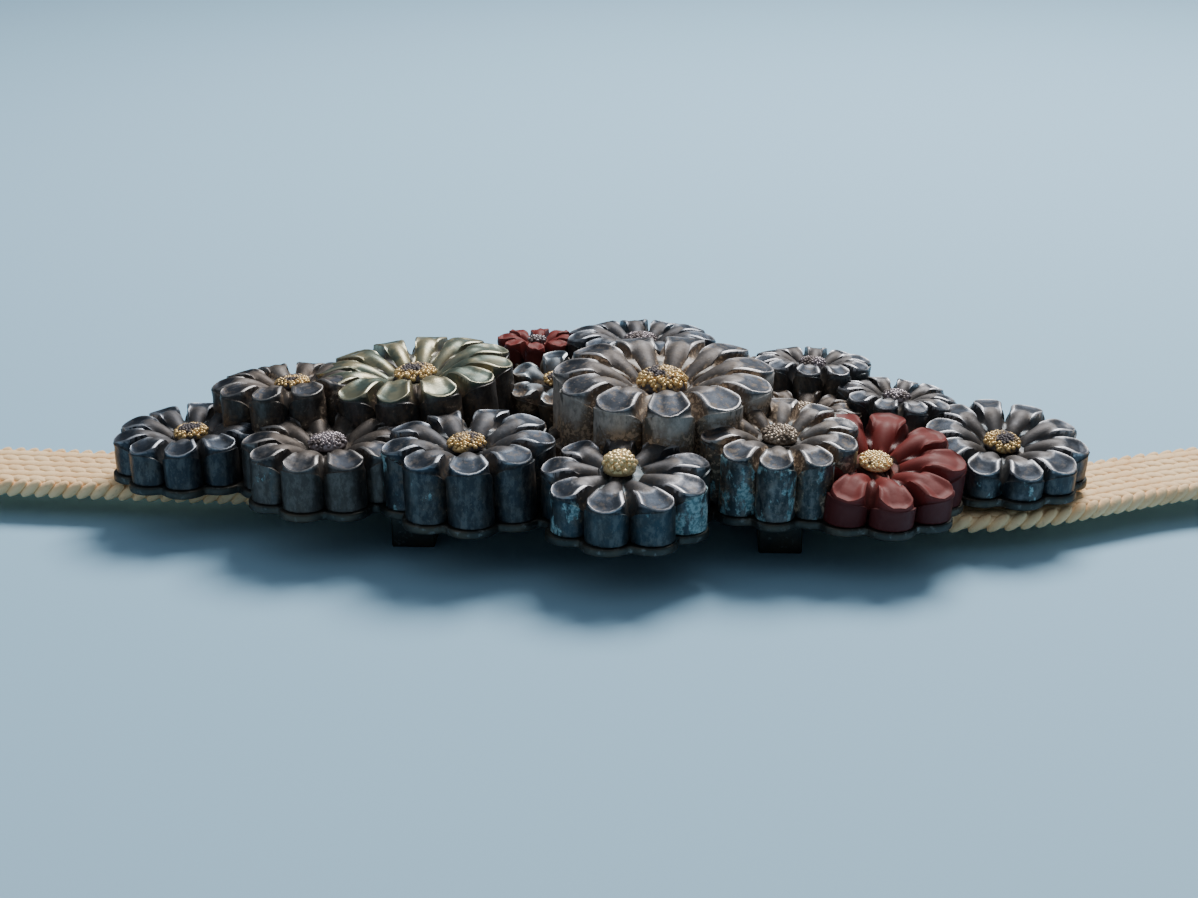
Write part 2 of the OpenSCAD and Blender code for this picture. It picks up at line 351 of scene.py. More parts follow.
class Nodes:
    """Helpers that add nodes to one node tree and wire them; values are sockets or plain numbers."""

    def __init__(self, tree: NodeTree) -> None:
        """Keeps the tree."""
        self.tree = tree

    def add(self, kind: str, given: dict | None = None, **settings: object) -> bpy.types.Node:
        """Adds a node.

        Args:
            kind: the node's type.
            given: values of its inputs, by name or number; none leaves an input as it is.
            settings: its own settings by name.

        Returns:
            The node.
        """
        node = self.tree.nodes.new(kind)
        for name, value in settings.items():
            setattr(node, name, value)
        for key, value in (given or {}).items():
            if value is not None:
                self.wire(value, node.inputs[key])
        return node

    def wire(self, value: object, socket: NodeSocket) -> None:
        """Gives an input its value.

        Args:
            value: a socket to link, or a plain value.
            socket: the input.
        """
        if isinstance(value, NodeSocket):
            self.tree.links.new(value, socket)
        else:
            socket.default_value = (*value, 1.0) if socket.type == "RGBA" else value

    def maths(self, operation: str, a: object, b: object, clamp: bool = False) -> NodeSocket:
        """Adds a Math node and returns its result."""
        return self.add("ShaderNodeMath", {0: a, 1: b}, operation=operation, use_clamp=clamp).outputs[0]

    def plus(self, a: object, b: object, clamp: bool = False) -> NodeSocket:
        """Adds two values."""
        return self.maths("ADD", a, b, clamp)

    def minus(self, a: object, b: object) -> NodeSocket:
        """Takes the second value from the first."""
        return self.maths("SUBTRACT", a, b)

    def times(self, a: object, b: object, clamp: bool = False) -> NodeSocket:
        """Multiplies two values."""
        return self.maths("MULTIPLY", a, b, clamp)

    def end(self, geometry: NodeSocket, material: NodeSocket, label: str) -> None:
        """Makes geometry real, soft and dressed, and gives it to the tree's output.

        Args:
            geometry: the geometry.
            material: its material.
            label: name of the output.
        """
        for kind in ("GeometryNodeRealizeInstances", "GeometryNodeSetShadeSmooth", "GeometryNodeSetMaterial"):
            node = self.add(kind, {"Geometry": geometry})
            geometry = node.outputs["Geometry"]
        self.wire(material, node.inputs["Material"])
        self.add("NodeGroupOutput", {label: geometry})

    def vector(self, operation: str, a: object, b: object = None, scale: object = None) -> NodeSocket:
        """Adds a Vector Math node and returns its result."""
        return self.add("ShaderNodeVectorMath", {0: a, 1: b, "Scale": scale}, operation=operation).outputs[0]


def new_group(name: str, kind: str, inputs: dict[str, str], outputs: dict[str, str]) -> tuple:
    """Makes a node group with named sockets.

    Args:
        name: the group's name.
        kind: the type of its tree.
        inputs: kinds of its inputs by name.
        outputs: kinds of its outputs by name.

    Returns:
        The group, and the identifiers of its inputs by name.
    """
    tree = bpy.data.node_groups.new(name, kind)
    ids = {}
    for labels, way in ((inputs, "INPUT"), (outputs, "OUTPUT")):
        for label, sort in labels.items():
            socket = tree.interface.new_socket(label, in_out=way, socket_type=f"NodeSocket{sort}")
            ids[label] = socket.identifier
    return tree, ids


@dataclass
class MeshParts:
    """Vertices, faces and masks of a mesh that is being put together.

    Attributes:
        points: vertex places in millimetres.
        faces: tuples of vertex numbers.
        kinds: material number of each face.
        masks: four numbers a vertex: rim wear, share down the wall, petal's luck, height on the petal.
        count: how many vertices there are.
    """

    points: list[Array] = field(default_factory=list)
    faces: list[tuple[int, ...]] = field(default_factory=list)
    kinds: list[int] = field(default_factory=list)
    masks: list[Array] = field(default_factory=list)
    count: int = 0

    def grid(self, points: Array, masks: Array, kind: int) -> None:
        """Adds a rectangular grid of quads.

        Args:
            points: rows x columns x 3 places.
            masks: rows x columns x 4 masks.
            kind: material number.
        """
        rows, cols = points.shape[:2]
        number = self.count + np.arange(rows * cols).reshape(rows, cols)
        quads = np.stack([number[:-1, :-1], number[:-1, 1:], number[1:, 1:], number[1:, :-1]], axis=-1)
        self.points.append(points.reshape(-1, 3))
        self.masks.append(masks.reshape(-1, 4))
        self.faces.extend(map(tuple, quads.reshape(-1, 4).tolist()))
        self.kinds.extend([kind] * ((rows - 1) * (cols - 1)))
        self.count += rows * cols


class FlowerHead:
    """Builds one closed flower head, from its petals down to the foot of its fluted wall."""

    COLUMNS: tuple[float, ...] = (0.0, 0.24, 0.46, 0.62, 0.75, 0.85, 0.93, 1.0)
    ROWS: tuple[float, ...] = (
        0.0, 0.09, 0.19, 0.3, 0.41, 0.51, 0.6, 0.69, 0.77, 0.84, 0.895, 0.937, 0.965, 0.985, 1.0,
    )
    FLANK: tuple[float, ...] = (0.0, 0.12, 0.42, 1.0)
    WALL: tuple[float, ...] = (0.0, 0.05, 0.14, 0.3, 0.6, 1.0)

    def __init__(self, bloom: Bloom, relief: Relief, foot_z: float, seed: int) -> None:
        """Keeps the sizes and the head's own random numbers.

        Args:
            bloom: the head's row in the table.
            relief: sizes of the petals' relief.
            foot_z: height of the wall's foot, in millimetres.
            seed: seed of the petals' small differences.
        """
        self.bloom = bloom
        self.relief = relief
        self.foot_z = foot_z
        self.random = np.random.default_rng(seed)
        self.chance = Chance()
        share = math.sin(math.pi / bloom.petals) * relief.lobe_overlap
        self.lobe = bloom.radius * share / (1 + share)
        self.ring = bloom.radius - self.lobe
        self.half = math.pi / bloom.petals
        inside = self.lobe**2 - (self.ring * math.sin(self.half)) ** 2
        self.crossing = self.ring * math.cos(self.half) + math.sqrt(max(inside, 0.0))
        beside, beyond = self.crossing * math.sin(self.half), self.crossing * math.cos(self.half) - self.ring
        self.turn = math.atan2(beside, beyond)

    def rise(self, share: Array) -> Array:
        """Height of a petal's back over the flower's plane.

        Args:
            share: how far out, as a share of the way.

        Returns:
            The height in millimetres.
        """
        r = self.relief
        up = np.clip((r.crest - share) / (r.crest - r.base), 0.0, 1.0)
        down = np.clip((share - r.crest) / (1 - r.crest), 0.0, 1.0)
        rise = r.arch - (r.arch + self.bloom.stamen.sunk) * up**2 - (r.arch + r.tip_drop) * down**2
        return self.bloom.radius * rise

    def floor(self, share: Array) -> Array:
        """Height of the groove's bottom at a share of the way out, in millimetres."""
        return self.rise(share) - self.relief.groove * np.minimum(1.0, self.relief.groove_run * share)

    def placed(self, flat: Array) -> Array:
        """Turns points of the flower's own plane into the brooch's frame.

        Args:
            flat: places in the flower's own frame, last axis x, y, z.

        Returns:
            Places in the brooch's frame, in millimetres.
        """
        a, t = math.radians(self.bloom.lean_to), math.radians(self.bloom.lean)
        x, y, z = flat[..., 0], flat[..., 1], flat[..., 2]
        u, v = x * math.cos(a) + y * math.sin(a), -x * math.sin(a) + y * math.cos(a)
        u2, w = u * math.cos(t) + z * math.sin(t), -u * math.sin(t) + z * math.cos(t)
        x2, y2 = u2 * math.cos(a) - v * math.sin(a), u2 * math.sin(a) + v * math.cos(a)
        turned = np.stack([x2, y2, w], axis=-1)
        return turned + np.array(self.bloom.middle)

    def axis(self) -> Array:
        """The direction that the head faces."""
        return self.placed(np.array([0.0, 0.0, 1.0])) - np.array(self.bloom.middle)

    def spread(self, angle: float, out: Array, side: Array, up: Array) -> Array:
        """Places petal coordinates in the brooch's frame.

        Args:
            angle: the petal's direction, in radians.
            out: distance out along the petal.
            side: distance to the side.
            up: height over the flower's plane.

        Returns:
            Places in the brooch's frame.
        """
        far = out / self.bloom.radius
        x = out * math.cos(angle) - side * math.sin(angle) + self.bloom.shift[0] * far
        y = out * math.sin(angle) + side * math.cos(angle) + self.bloom.shift[1] * far
        return self.placed(np.stack([x, y, up], axis=-1))

    def petal(self, parts: MeshParts, number: int, face_kind: int, wall_kind: int) -> None:
        """Adds one petal: its dished face, the flanks down into the grooves and its round wall.

        Args:
            parts: the mesh to add to.
            number: the petal's number.
            face_kind: material number of the face.
            wall_kind: material number of the wall.
        """
        r, c, bloom = self.relief, self.chance, self.bloom
        wide, short, deep, high, lift, late, sway, roll = self.random.uniform(-1, 1, 8)
        width = self.lobe * r.tongue * (1 + c.width * wide)
        tip = bloom.radius - r.tip_inset - c.tip * abs(short)
        centre = tip - width
        start = r.base * bloom.radius
        start_half = start * math.tan(self.half) * r.neck
        U, S = np.meshgrid(self.across(), np.array(self.ROWS))
        pointed = r.point if (bloom.name, number) == POINTED_PETAL else 0.0
        arc_out = np.cos(U * math.pi / 2) * (1 - pointed) + pointed * (1 - np.abs(U))
        out = (1 - S) * start + S * (centre + width * (1 + r.point_reach * pointed) * arc_out)
        widen = S**r.flare
        half = (1 - widen) * start_half + widen * width
        side = (1 - widen) * start_half * U + widen * width * np.sin(U * math.pi / 2)
        side = side + c.sway * sway * width * S**2
        # distance inside the face's outline, and the dished face on the outer part of the petal
        edge = np.minimum((1 - np.abs(np.sin(U * math.pi / 2))) * half, (1 - S) * (tip - start))
        cut = r.cut + c.cut * late + r.cut_bow * (1 - U**2)
        outer = smooth_step(cut - r.cut_soft, cut + r.cut_soft, S)
        crown = (1 - outer) * r.back_crown * half * U**2 + outer * r.face_crown * half * U**2
        hollow = r.dish * (1 + c.dish * deep) * outer * smooth_step(*r.dish_edge, edge)
        lip = r.rim * (1 + c.rim * high) * outer * np.exp(-(((edge - r.rim_at) / r.rim_at) ** 2))
        is_ridged = bloom.patina is Patina.RED or pointed
        ridge = r.spine[0] * outer * np.exp(-((side / r.spine[1]) ** 2)) if is_ridged else 0.0
        tilt = outer * (c.lift * lift + c.roll * roll * side / width)
        up = self.rise(np.minimum(out / bloom.radius, 1.0)) - crown - hollow + lip + ridge + tilt
        step_wear, step_width, step_span = r.worn_step
        step = step_wear * np.exp(-(((S - cut) / step_width) ** 2)) * np.exp(-((U / step_span) ** 4))
        wear = np.maximum(outer * np.exp(-((edge / r.worn_rim) ** 2)), step)
        petal = Petal(
            angle=math.radians(bloom.first) + 2 * math.pi * number / bloom.petals,
            out=out, side=side, up=up, wear=wear,
            luck=RUBBED_PETALS.get((bloom.name, number), 0.5 + 0.5 * late),
            salt=SALTED_WALLS.get((bloom.name, number), SALT_ELSEWHERE * bloom.verdigris),
        )
        # how dished the face is, -1 on its inner part; the shader paints shade into the hollow with it
        dished = outer * smooth_step(*r.dish_shade, edge) - (1 - outer)
        masks = np.stack([wear, np.zeros_like(S), np.full_like(S, petal.luck), dished], axis=-1)
        parts.grid(self.spread(petal.angle, out, side, up), masks, face_kind)
        self.flanks(parts, petal, face_kind)
        self.end(parts, petal, wall_kind)

    def across(self) -> Array:
        """Places of the columns across a petal, from -1 at one side to 1 at the other."""
        return np.array([-c for c in self.COLUMNS[:0:-1]] + list(self.COLUMNS))

    def groove_line(self, s: Array) -> tuple[Array, Array]:
        """The groove between two petals: distance out from the middle and height, at shares s of the way."""
        out = self.relief.base * self.bloom.radius * (1 - s) + self.crossing * s
        return out, self.floor(out / self.crossing)

    def flanks(self, parts: MeshParts, petal: Petal, kind: int) -> None:
        """Adds the two steep sides of a petal, from the face's edges to the grooves.

        Args:
            parts: the mesh to add to.
            petal: the petal.
            kind: material number of the flanks.
        """
        s, f = np.array(self.ROWS), np.array(self.FLANK)
        away, low = self.groove_line(s)
        low = np.where(s == 0, petal.up[0, 0], low)
        fall = 1 - (1 - f) ** 3
        F = f[None, :]
        worn = self.relief.flank_wear * (1 - F) ** 3 * smooth_step(*self.relief.flank_from, s)[:, None]
        for way, col in ((-1, 0), (1, -1)):
            groove_out, groove_side = away * math.cos(self.half), way * away * math.sin(self.half)
            out = petal.out[:, col, None] * (1 - F) + groove_out[:, None] * F
            side = petal.side[:, col, None] * (1 - F) + groove_side[:, None] * F
            up = petal.up[:, col, None] * (1 - fall[None, :]) + low[:, None] * fall[None, :]
            block = self.spread(petal.angle, out, side, up)
            masks = np.zeros(out.shape + (4,))
            masks[..., 0] = worn
            masks[..., 1] = WALL_START * F
            masks[..., 2] = petal.luck
            if way < 0:
                block, masks = block[:, ::-1], masks[:, ::-1]
            parts.grid(block, masks, kind)

    def end(self, parts: MeshParts, petal: Petal, kind: int) -> None:
        """Adds a petal's end: the step from the face's tip to the wall's edge, and the wall to its foot.

        Args:
            parts: the mesh to add to.
            petal: the petal.
            kind: material number of the wall.
        """
        r, u = self.relief, self.across()
        turn = u * self.turn
        wall_out, wall_side = self.ring + self.lobe * np.cos(turn), self.lobe * np.sin(turn)
        tip_out, tip_side, tip_up = petal.out[-1], petal.side[-1], petal.up[-1]
        low = self.floor(np.array([1.0]))[0]
        wall_up = self.rise(np.array([1.0]))[0] - r.shoulder - (r.groove - r.shoulder) * np.abs(u) ** 3.5
        wall_up = np.where(np.abs(u) > 0.999, low, np.minimum(wall_up, tip_up - r.shoulder))
        f = np.array(self.FLANK)[:, None]
        fall = 1 - (1 - f) ** 3
        out = tip_out[None, :] * (1 - f) + wall_out[None, :] * f
        side = tip_side[None, :] * (1 - f) + wall_side[None, :] * f
        up = tip_up[None, :] * (1 - fall) + wall_up[None, :] * fall
        block = self.spread(petal.angle, out, side, up)
        masks = np.zeros(out.shape + (4,))
        masks[..., 0] = petal.wear[-1][None, :] * (1 - f) ** 4 * 0.7
        masks[..., 1] = WALL_START * f
        masks[..., 2], masks[..., 3] = petal.luck, petal.salt
        parts.grid(block, masks, kind)
        top, axis, down = block[-1], self.axis(), np.array(self.WALL)
        foot = top - axis[None, :] * ((top[:, 2] - self.foot_z) / axis[2])[:, None]
        w = down[:, None, None]
        rows = top[None] * (1 - w) + foot[None] * w
        # a slight waist under the rim, fading out in the grooves and at the foot
        depth, place, spread = r.waist
        facing = petal.angle + turn
        outward = np.stack([np.cos(facing), np.sin(facing), np.zeros_like(turn)], axis=-1)
        waist = -depth * np.exp(-(((down - place) / spread) ** 2)) * (down > 0)
        rows = rows + waist[:, None, None] * (np.cos(turn) ** 2 * (1 - u**8))[None, :, None] * outward[None]
        wall_masks = np.zeros(rows.shape[:2] + (4,))
        wall_masks[..., 1] = np.maximum(WALL_START, down[:, None])
        wall_masks[..., 2], wall_masks[..., 3] = petal.luck, petal.salt
        parts.grid(rows, wall_masks, kind)

    def mesh(self, name: str, kinds: tuple[int, int]) -> Object:
        """Makes the closed head.

        Args:
            name: the new object's name.
            kinds: material numbers of the petals' faces and of the wall.

        Returns:
            The object, with its masks as attributes.
        """
        parts = MeshParts()
        for number in range(self.bloom.petals):
            self.petal(parts, number, *kinds)
        points, masks = np.concatenate(parts.points), np.concatenate(parts.masks)
        mesh = bpy.data.meshes.new(name)
        mesh.from_pydata((points * MM).tolist(), [], parts.faces)
        mesh.polygons.foreach_set("material_index", parts.kinds)
        self.paint(mesh, masks)
        bm = bmesh.new()
        bm.from_mesh(mesh)
        bmesh.ops.remove_doubles(bm, verts=bm.verts, dist=MERGED)
        bmesh.ops.dissolve_degenerate(bm, dist=EMPTY, edges=bm.edges)
        for loop in self.open_loops(bm):
            bm.faces.new(loop)
        bmesh.ops.recalc_face_normals(bm, faces=bm.faces)
        bmesh.ops.triangulate(bm, faces=[f for f in bm.faces if len(f.verts) > 4])
        bm.to_mesh(mesh)
        bm.free()
        to_corners(mesh)
        return link(bpy.data.objects.new(name, mesh))

    @staticmethod
    def open_loops(bm: bmesh.types.BMesh) -> list[list[bmesh.types.BMVert]]:
        """Finds the open rings of edges at the seat and at the foot.

        Args:
            bm: the head's mesh.

        Returns:
            The vertices of each ring in order.
        """
        rims = {e for e in bm.edges if e.is_boundary}
        loops = []
        while rims:
            edge = rims.pop()
            start, here = edge.verts
            loop = [start, here]
            while True:
                nxt = next((e for e in here.link_edges if e in rims), None)
                if nxt is None:
                    break
                rims.discard(nxt)
                here = nxt.other_vert(here)
                if here == start:
                    break
                loop.append(here)
            loops.append(loop)
        return loops

    def paint(self, mesh: Mesh, masks: Array) -> None:
        """Stores the masks and the head's colours as attributes.

        Args:
            mesh: the mesh that gets them.
            masks: four numbers a vertex.
        """
        tone = TONES[self.bloom.patina]
        layers = {
            "masks": masks,
            "petal_colour": np.tile([*tone.petal, self.bloom.soil], (len(masks), 1)),
            "worn_colour": np.tile([*tone.worn, tone.wear], (len(masks), 1)),
            "wall_colour": np.tile([*tone.wall, self.bloom.mottle], (len(masks), 1)),
        }
        for name, values in layers.items():
            layer = mesh.attributes.new(name, "FLOAT_COLOR", "POINT")
            layer.data.foreach_set("color", values.astype(np.float32).ravel())


def to_corners(mesh: Mesh) -> None:
    """Moves the colours from the points to the faces' corners, so that two heads don't mix where they meet.

    Args:
        mesh: the mesh with the colours.
    """
    numbers = np.empty(len(mesh.loops), np.int32)
    mesh.loops.foreach_get("vertex_index", numbers)
    for name in PAINTED:
        values = np.empty(len(mesh.vertices) * 4, np.float32)
        mesh.attributes[name].data.foreach_get("color", values)
        mesh.attributes.remove(mesh.attributes[name])
        layer = mesh.attributes.new(name, "FLOAT_COLOR", "CORNER")
        layer.data.foreach_set("color", values.reshape(-1, 4)[numbers].ravel())


@dataclass
class Casting:
    """The cluster of flower heads, soldered into one piece on low ground.

    Attributes:
        relief: sizes of the petals' relief.
        foot_z: height of the foot of the walls, in millimetres.
        ground: length, width and height of the low ground between the heads, in millimetres.
        rays: directions that each point looks in, to find how open it lies.
        reach: how far it looks, in millimetres.
        spread: how far down to the surface it looks, 0 straight up to 1 along the surface.
        near: how open a point counts whose view ends at the full reach.
        start: height over the surface that it looks from, in millimetres.
        sharp: angle from which an edge stays sharp, in degrees.
    """

    relief: Relief = field(default_factory=Relief)
    foot_z: float = FOOT_Z
    ground: Triple = (49.0, 16.0, 1.4)
    rays: int = 20
    reach: float = 2.6
    spread: float = 0.94
    near: float = 0.6
    start: float = 0.02
    sharp: float = 42.0

    def heads(self) -> list[Object]:
        """Builds every head as a closed mesh of its own.

        Returns:
            The heads.
        """
        made = []
        for seed, bloom in enumerate(BLOOMS):
            kinds = (FINISH_OF[bloom.patina], WALL_OF[bloom.patina])
            head = FlowerHead(bloom, self.relief, self.foot_z, 100 + seed)
            made.append(head.mesh(f"head_{bloom.name}", kinds))
        return made

    def low_ground(self) -> Object:
        """Builds the low oval ground that fills the gaps between the heads.

        Returns:
            The ground.
        """
        length, width, height = self.ground
        bm = bmesh.new()
        turns = np.linspace(0, 2 * math.pi, 64, endpoint=False)
        foot = self.foot_z * MM
        ring = [(length / 2 * math.cos(t) * MM, width / 2 * math.sin(t) * MM, foot) for t in turns]
        bottom = bm.faces.new([bm.verts.new(place) for place in ring])
        lifted = bmesh.ops.extrude_face_region(bm, geom=[bottom])
        for v in (g for g in lifted["geom"] if isinstance(g, bmesh.types.BMVert)):
            v.co.z += height * MM
        bmesh.ops.recalc_face_normals(bm, faces=bm.faces)
        mesh = bpy.data.meshes.new("low_ground")
        bm.to_mesh(mesh)
        bm.free()
        mesh.polygons.foreach_set("material_index", [0] * len(mesh.polygons))
        ground = link(bpy.data.objects.new("low_ground", mesh))
        masks = np.tile([0.0, 0.6, 0.5, 1.0], (len(mesh.vertices), 1))
        FlowerHead(BLOOMS[-1], self.relief, self.foot_z, 1).paint(mesh, masks)
        to_corners(mesh)
        return ground

    def joined(self, name: str, materials: list[Material]) -> Object:
        """Unites the heads and the ground into one closed mesh.

        Args:
            name: name of the new piece.
            materials: the materials that the face numbers stand for.

        Returns:
            The piece.
        """
        first, *others = self.heads() + [self.low_ground()]
        for obj in (first, *others):
            for material in materials:
                obj.data.materials.append(material)
        operands = bpy.data.collections.new("heads_to_unite")
        for obj in others:
            operands.objects.link(obj)
        union = first.modifiers.new("unite", "BOOLEAN")
        union.operation, union.operand_type, union.solver = "UNION", "COLLECTION", "MANIFOLD"
        union.collection = operands
        mesh = bpy.data.meshes.new_from_object(first.evaluated_get(bpy.context.evaluated_depsgraph_get()))
        mesh.name = name
        bpy.data.collections.remove(operands)
        for obj in (first, *others):
            bpy.data.objects.remove(obj)
        piece = link(bpy.data.objects.new(name, mesh))
        self.clean(mesh)
        self.openness(mesh)
        return piece

    def clean(self, mesh: Mesh) -> None:
        """Drops empty faces, and marks the edges that stay sharp where two heads or a wall and a groove meet.

        Args:
            mesh: the united mesh.
        """
        bm = bmesh.new()
        bm.from_mesh(mesh)
        bmesh.ops.dissolve_degenerate(bm, dist=EMPTY, edges=bm.edges)
        sharp = math.radians(self.sharp)
        for edge in bm.edges:
            edge.smooth = len(edge.link_faces) == 2 and edge.calc_face_angle(0.0) < sharp
        for face in bm.faces:
            face.smooth = True
        bm.to_mesh(mesh)
        bm.free()

    def openness(self, mesh: Mesh) -> None:
        """Stores how open to its own sky each point lies, 0 in a crevice and 1 on an open face.

        Args:
            mesh: the united mesh.
        """
        faces = [tuple(f.vertices) for f in mesh.polygons]
        tree = BVHTree.FromPolygons([v.co.copy() for v in mesh.vertices], faces)
        rays = self.rays
        k = np.arange(rays) + 0.5
        high, turn = np.sqrt(1 - k / rays * self.spread), k * GOLDEN_TURN
        low = np.sqrt(1 - high**2)
        dome = np.stack([low * np.cos(turn), low * np.sin(turn), high], axis=-1)
        reach, values = self.reach * MM, np.empty(len(mesh.vertices), np.float32)
        for i, vertex in enumerate(mesh.vertices):
            n = vertex.normal
            side = n.orthogonal().normalized()
            other = n.cross(side)
            start, seen = vertex.co + n * (self.start * MM), 0.0
            for x, y, z in dome:
                hit = tree.ray_cast(start, side * x + other * y + n * z, reach)[3]
                seen += 1.0 if hit is None else self.near * (hit / reach) ** 2
            values[i] = seen / rays
        layer = mesh.attributes.new("openness", "FLOAT", "POINT")
        layer.data.foreach_set("value", values)


class Granulation:
    """Stamens: low domes covered with small soldered grains.

    Attributes:
        FLATNESS: power that makes a dome's top flat and its sides steep.
        CROWDING: how closely the grains lie on a flat dome, and what its height adds.
        FILLED: share of the dome's radius that they fill.
        JITTER: how far a grain may turn from its place in the spiral, in radians.
        SIZES: smallest and largest size of a grain, in times the stamen's own.
        RINGS, AROUND: rows and columns of the dome's mesh.
        DOME_LIFT, GRAIN_LIFT: how far the dome and the grains are lifted, in millimetres.
    """

    FLATNESS = 2.6
    CROWDING = (1.2, 0.8)
    FILLED = 0.97
    JITTER = 0.15
    SIZES = (0.8, 1.25)
    RINGS, AROUND = 7, 24
    DOME_LIFT, GRAIN_LIFT = 0.03, 0.06

    @staticmethod
    def height(bloom: Bloom, r: Array) -> Array:
        """Height of a stamen's dome over the flower's plane.

        Args:
            bloom: the flower.
            r: distance from its axis, in millimetres.

        Returns:
            The height in millimetres.
        """
        stamen = bloom.stamen
        radius = stamen.share * bloom.radius
        over = radius * stamen.height * np.sqrt(np.clip(1 - (r / radius) ** Granulation.FLATNESS, 0, 1))
        return over - stamen.sunk * bloom.radius

    def seeds(self, bloom: Bloom, random: np.random.Generator) -> tuple[Array, Array, Array]:
        """Places of the grains on one dome, in spiral order, their sizes and how far out they lie.

        Args:
            bloom: the flower.
            random: source of the small differences.

        Returns:
            Places in millimetres in the brooch's frame, radii in millimetres, and shares of the way out.
        """
        head = FlowerHead(bloom, Relief(), FOOT_Z, 0)
        radius, grain = bloom.stamen.share * bloom.radius, bloom.stamen.grain
        flat, steep = self.CROWDING
        count = int((flat + steep * bloom.stamen.height**2) * (radius / grain) ** 2)
        i = np.arange(count) + 0.5
        r = radius * np.sqrt(i / count) * self.FILLED
        t = i * GOLDEN_TURN + random.uniform(-self.JITTER, self.JITTER, count)
        z = self.height(bloom, r) + self.GRAIN_LIFT
        places = head.placed(np.stack([r * np.cos(t), r * np.sin(t), z], axis=-1))
        return places, grain * random.uniform(*self.SIZES, count), r / radius

    def dome(self, bloom: Bloom, bm: bmesh.types.BMesh) -> None:
        """Adds the closed dome under the grains of one stamen.

        Args:
            bloom: the flower.
            bm: the mesh that gets it.
        """
        head = FlowerHead(bloom, Relief(), FOOT_Z, 0)
        radius = bloom.stamen.share * bloom.radius
        t = np.linspace(0, 2 * math.pi, self.AROUND, endpoint=False)
        rows = []
        for j in range(self.RINGS):
            r = radius * math.cos(j / self.RINGS * math.pi / 2) ** 0.8
            z = np.full(self.AROUND, self.height(bloom, r) + self.DOME_LIFT)
            ring = head.placed(np.stack([r * np.cos(t), r * np.sin(t), z], axis=-1))
            rows.append([bm.verts.new(Vector(p) * MM) for p in ring])
        for low, high in zip(rows, rows[1:]):
            for k in range(self.AROUND):
                m = (k + 1) % self.AROUND
                bm.faces.new([low[k], low[m], high[m], high[k]])
        bm.faces.new(rows[0][::-1])
        bm.faces.new(rows[-1])

    def piece(self, name: str, blooms: list[Bloom], finish: Material, seed: int) -> Object:
        """Builds the stamens of several flowers as one piece.

        Args:
            name: name of the piece.
            blooms: the flowers whose stamens it holds.
            finish: material of domes and grains.
            seed: seed of the grains' small differences.

        Returns:
            The piece.
        """
        random = np.random.default_rng(seed)
        bm = bmesh.new()
        for bloom in blooms:
            self.dome(bloom, bm)
        domes = bpy.data.meshes.new(f"{name}_domes")
        for face in bm.faces:
            face.smooth = True
        bm.to_mesh(domes)
        bm.free()
        found = [self.seeds(b, random) for b in blooms]
        places, sizes, way_out = (np.concatenate([f[k] for f in found]) for k in range(3))
        return scatter(name, domes, places, {"grain_radius": sizes * MM, "way_out": way_out}, finish)


def scatter(name: str, under: Mesh, places: Array, values: dict[str, Array], finish: Material) -> Object:
    """Sets grains on places with Geometry Nodes, and joins them to the mesh under them.

    Args:
        name: name of the piece.
        under: the mesh that carries the grains.
        places: places in millimetres.
        values: numbers of each grain by name; grain_radius, in metres, is its size.
        finish: material of everything.

    Returns:
        The piece as a plain mesh.
    """
    seeds = bpy.data.meshes.new(f"{name}_seeds")
    seeds.from_pydata((places * MM).tolist(), [], [])
    for label, numbers in values.items():
        layer = seeds.attributes.new(label, "FLOAT", "POINT")
        layer.data.foreach_set("value", numbers.astype(np.float32))
    carrier = link(bpy.data.objects.new(f"{name}_carrier", under))
    obj = link(bpy.data.objects.new(name, seeds))
    wanted = {"Seeds": "Geometry", "Carrier": "Object", "Grain sides": "Int", "Finish": "Material"}
    tree, ids = new_group("Grains on places", "GeometryNodeTree", wanted, {"Stamens": "Geometry"})
    g = Nodes(tree)
    given = g.add("NodeGroupInput").outputs
    ball = g.add("GeometryNodeMeshUVSphere", {"Segments": given["Grain sides"], "Rings": 5, "Radius": 1.0})
    size = g.add("GeometryNodeInputNamedAttribute", {"Name": "grain_radius"}, data_type="FLOAT")
    put = g.add("GeometryNodeInstanceOnPoints", {
        "Points": given["Seeds"], "Instance": ball.outputs["Mesh"], "Scale": size.outputs["Attribute"],
    })
    info = g.add("GeometryNodeObjectInfo", {"Object": given["Carrier"]})
    join = g.add("GeometryNodeJoinGeometry", {"Geometry": info.outputs["Geometry"]})
    g.wire(put.outputs["Instances"], join.inputs["Geometry"])
    g.end(join.outputs["Geometry"], given["Finish"], "Stamens")
    nodes = obj.modifiers.new("grains", "NODES")
    nodes.node_group = tree
    nodes[ids["Carrier"]], nodes[ids["Grain sides"]], nodes[ids["Finish"]] = carrier, 8, finish
    return baked(obj, [carrier])


def baked(obj: Object, spent: list[Object]) -> Object:
    """Turns an object's evaluated modifiers into a plain mesh.

    Args:
        obj: the object with its modifiers.
        spent: helper objects that are no longer needed.

    Returns:
        A new object of the same name, with a plain mesh.
    """
    bpy.context.view_layer.update()
    depsgraph = bpy.context.evaluated_depsgraph_get()
    mesh = bpy.data.meshes.new_from_object(obj.evaluated_get(depsgraph), depsgraph=depsgraph)
    name = obj.name
    for old in (obj, *spent):
        bpy.data.objects.remove(old)
    mesh.name = name
    return link(bpy.data.objects.new(name, mesh))


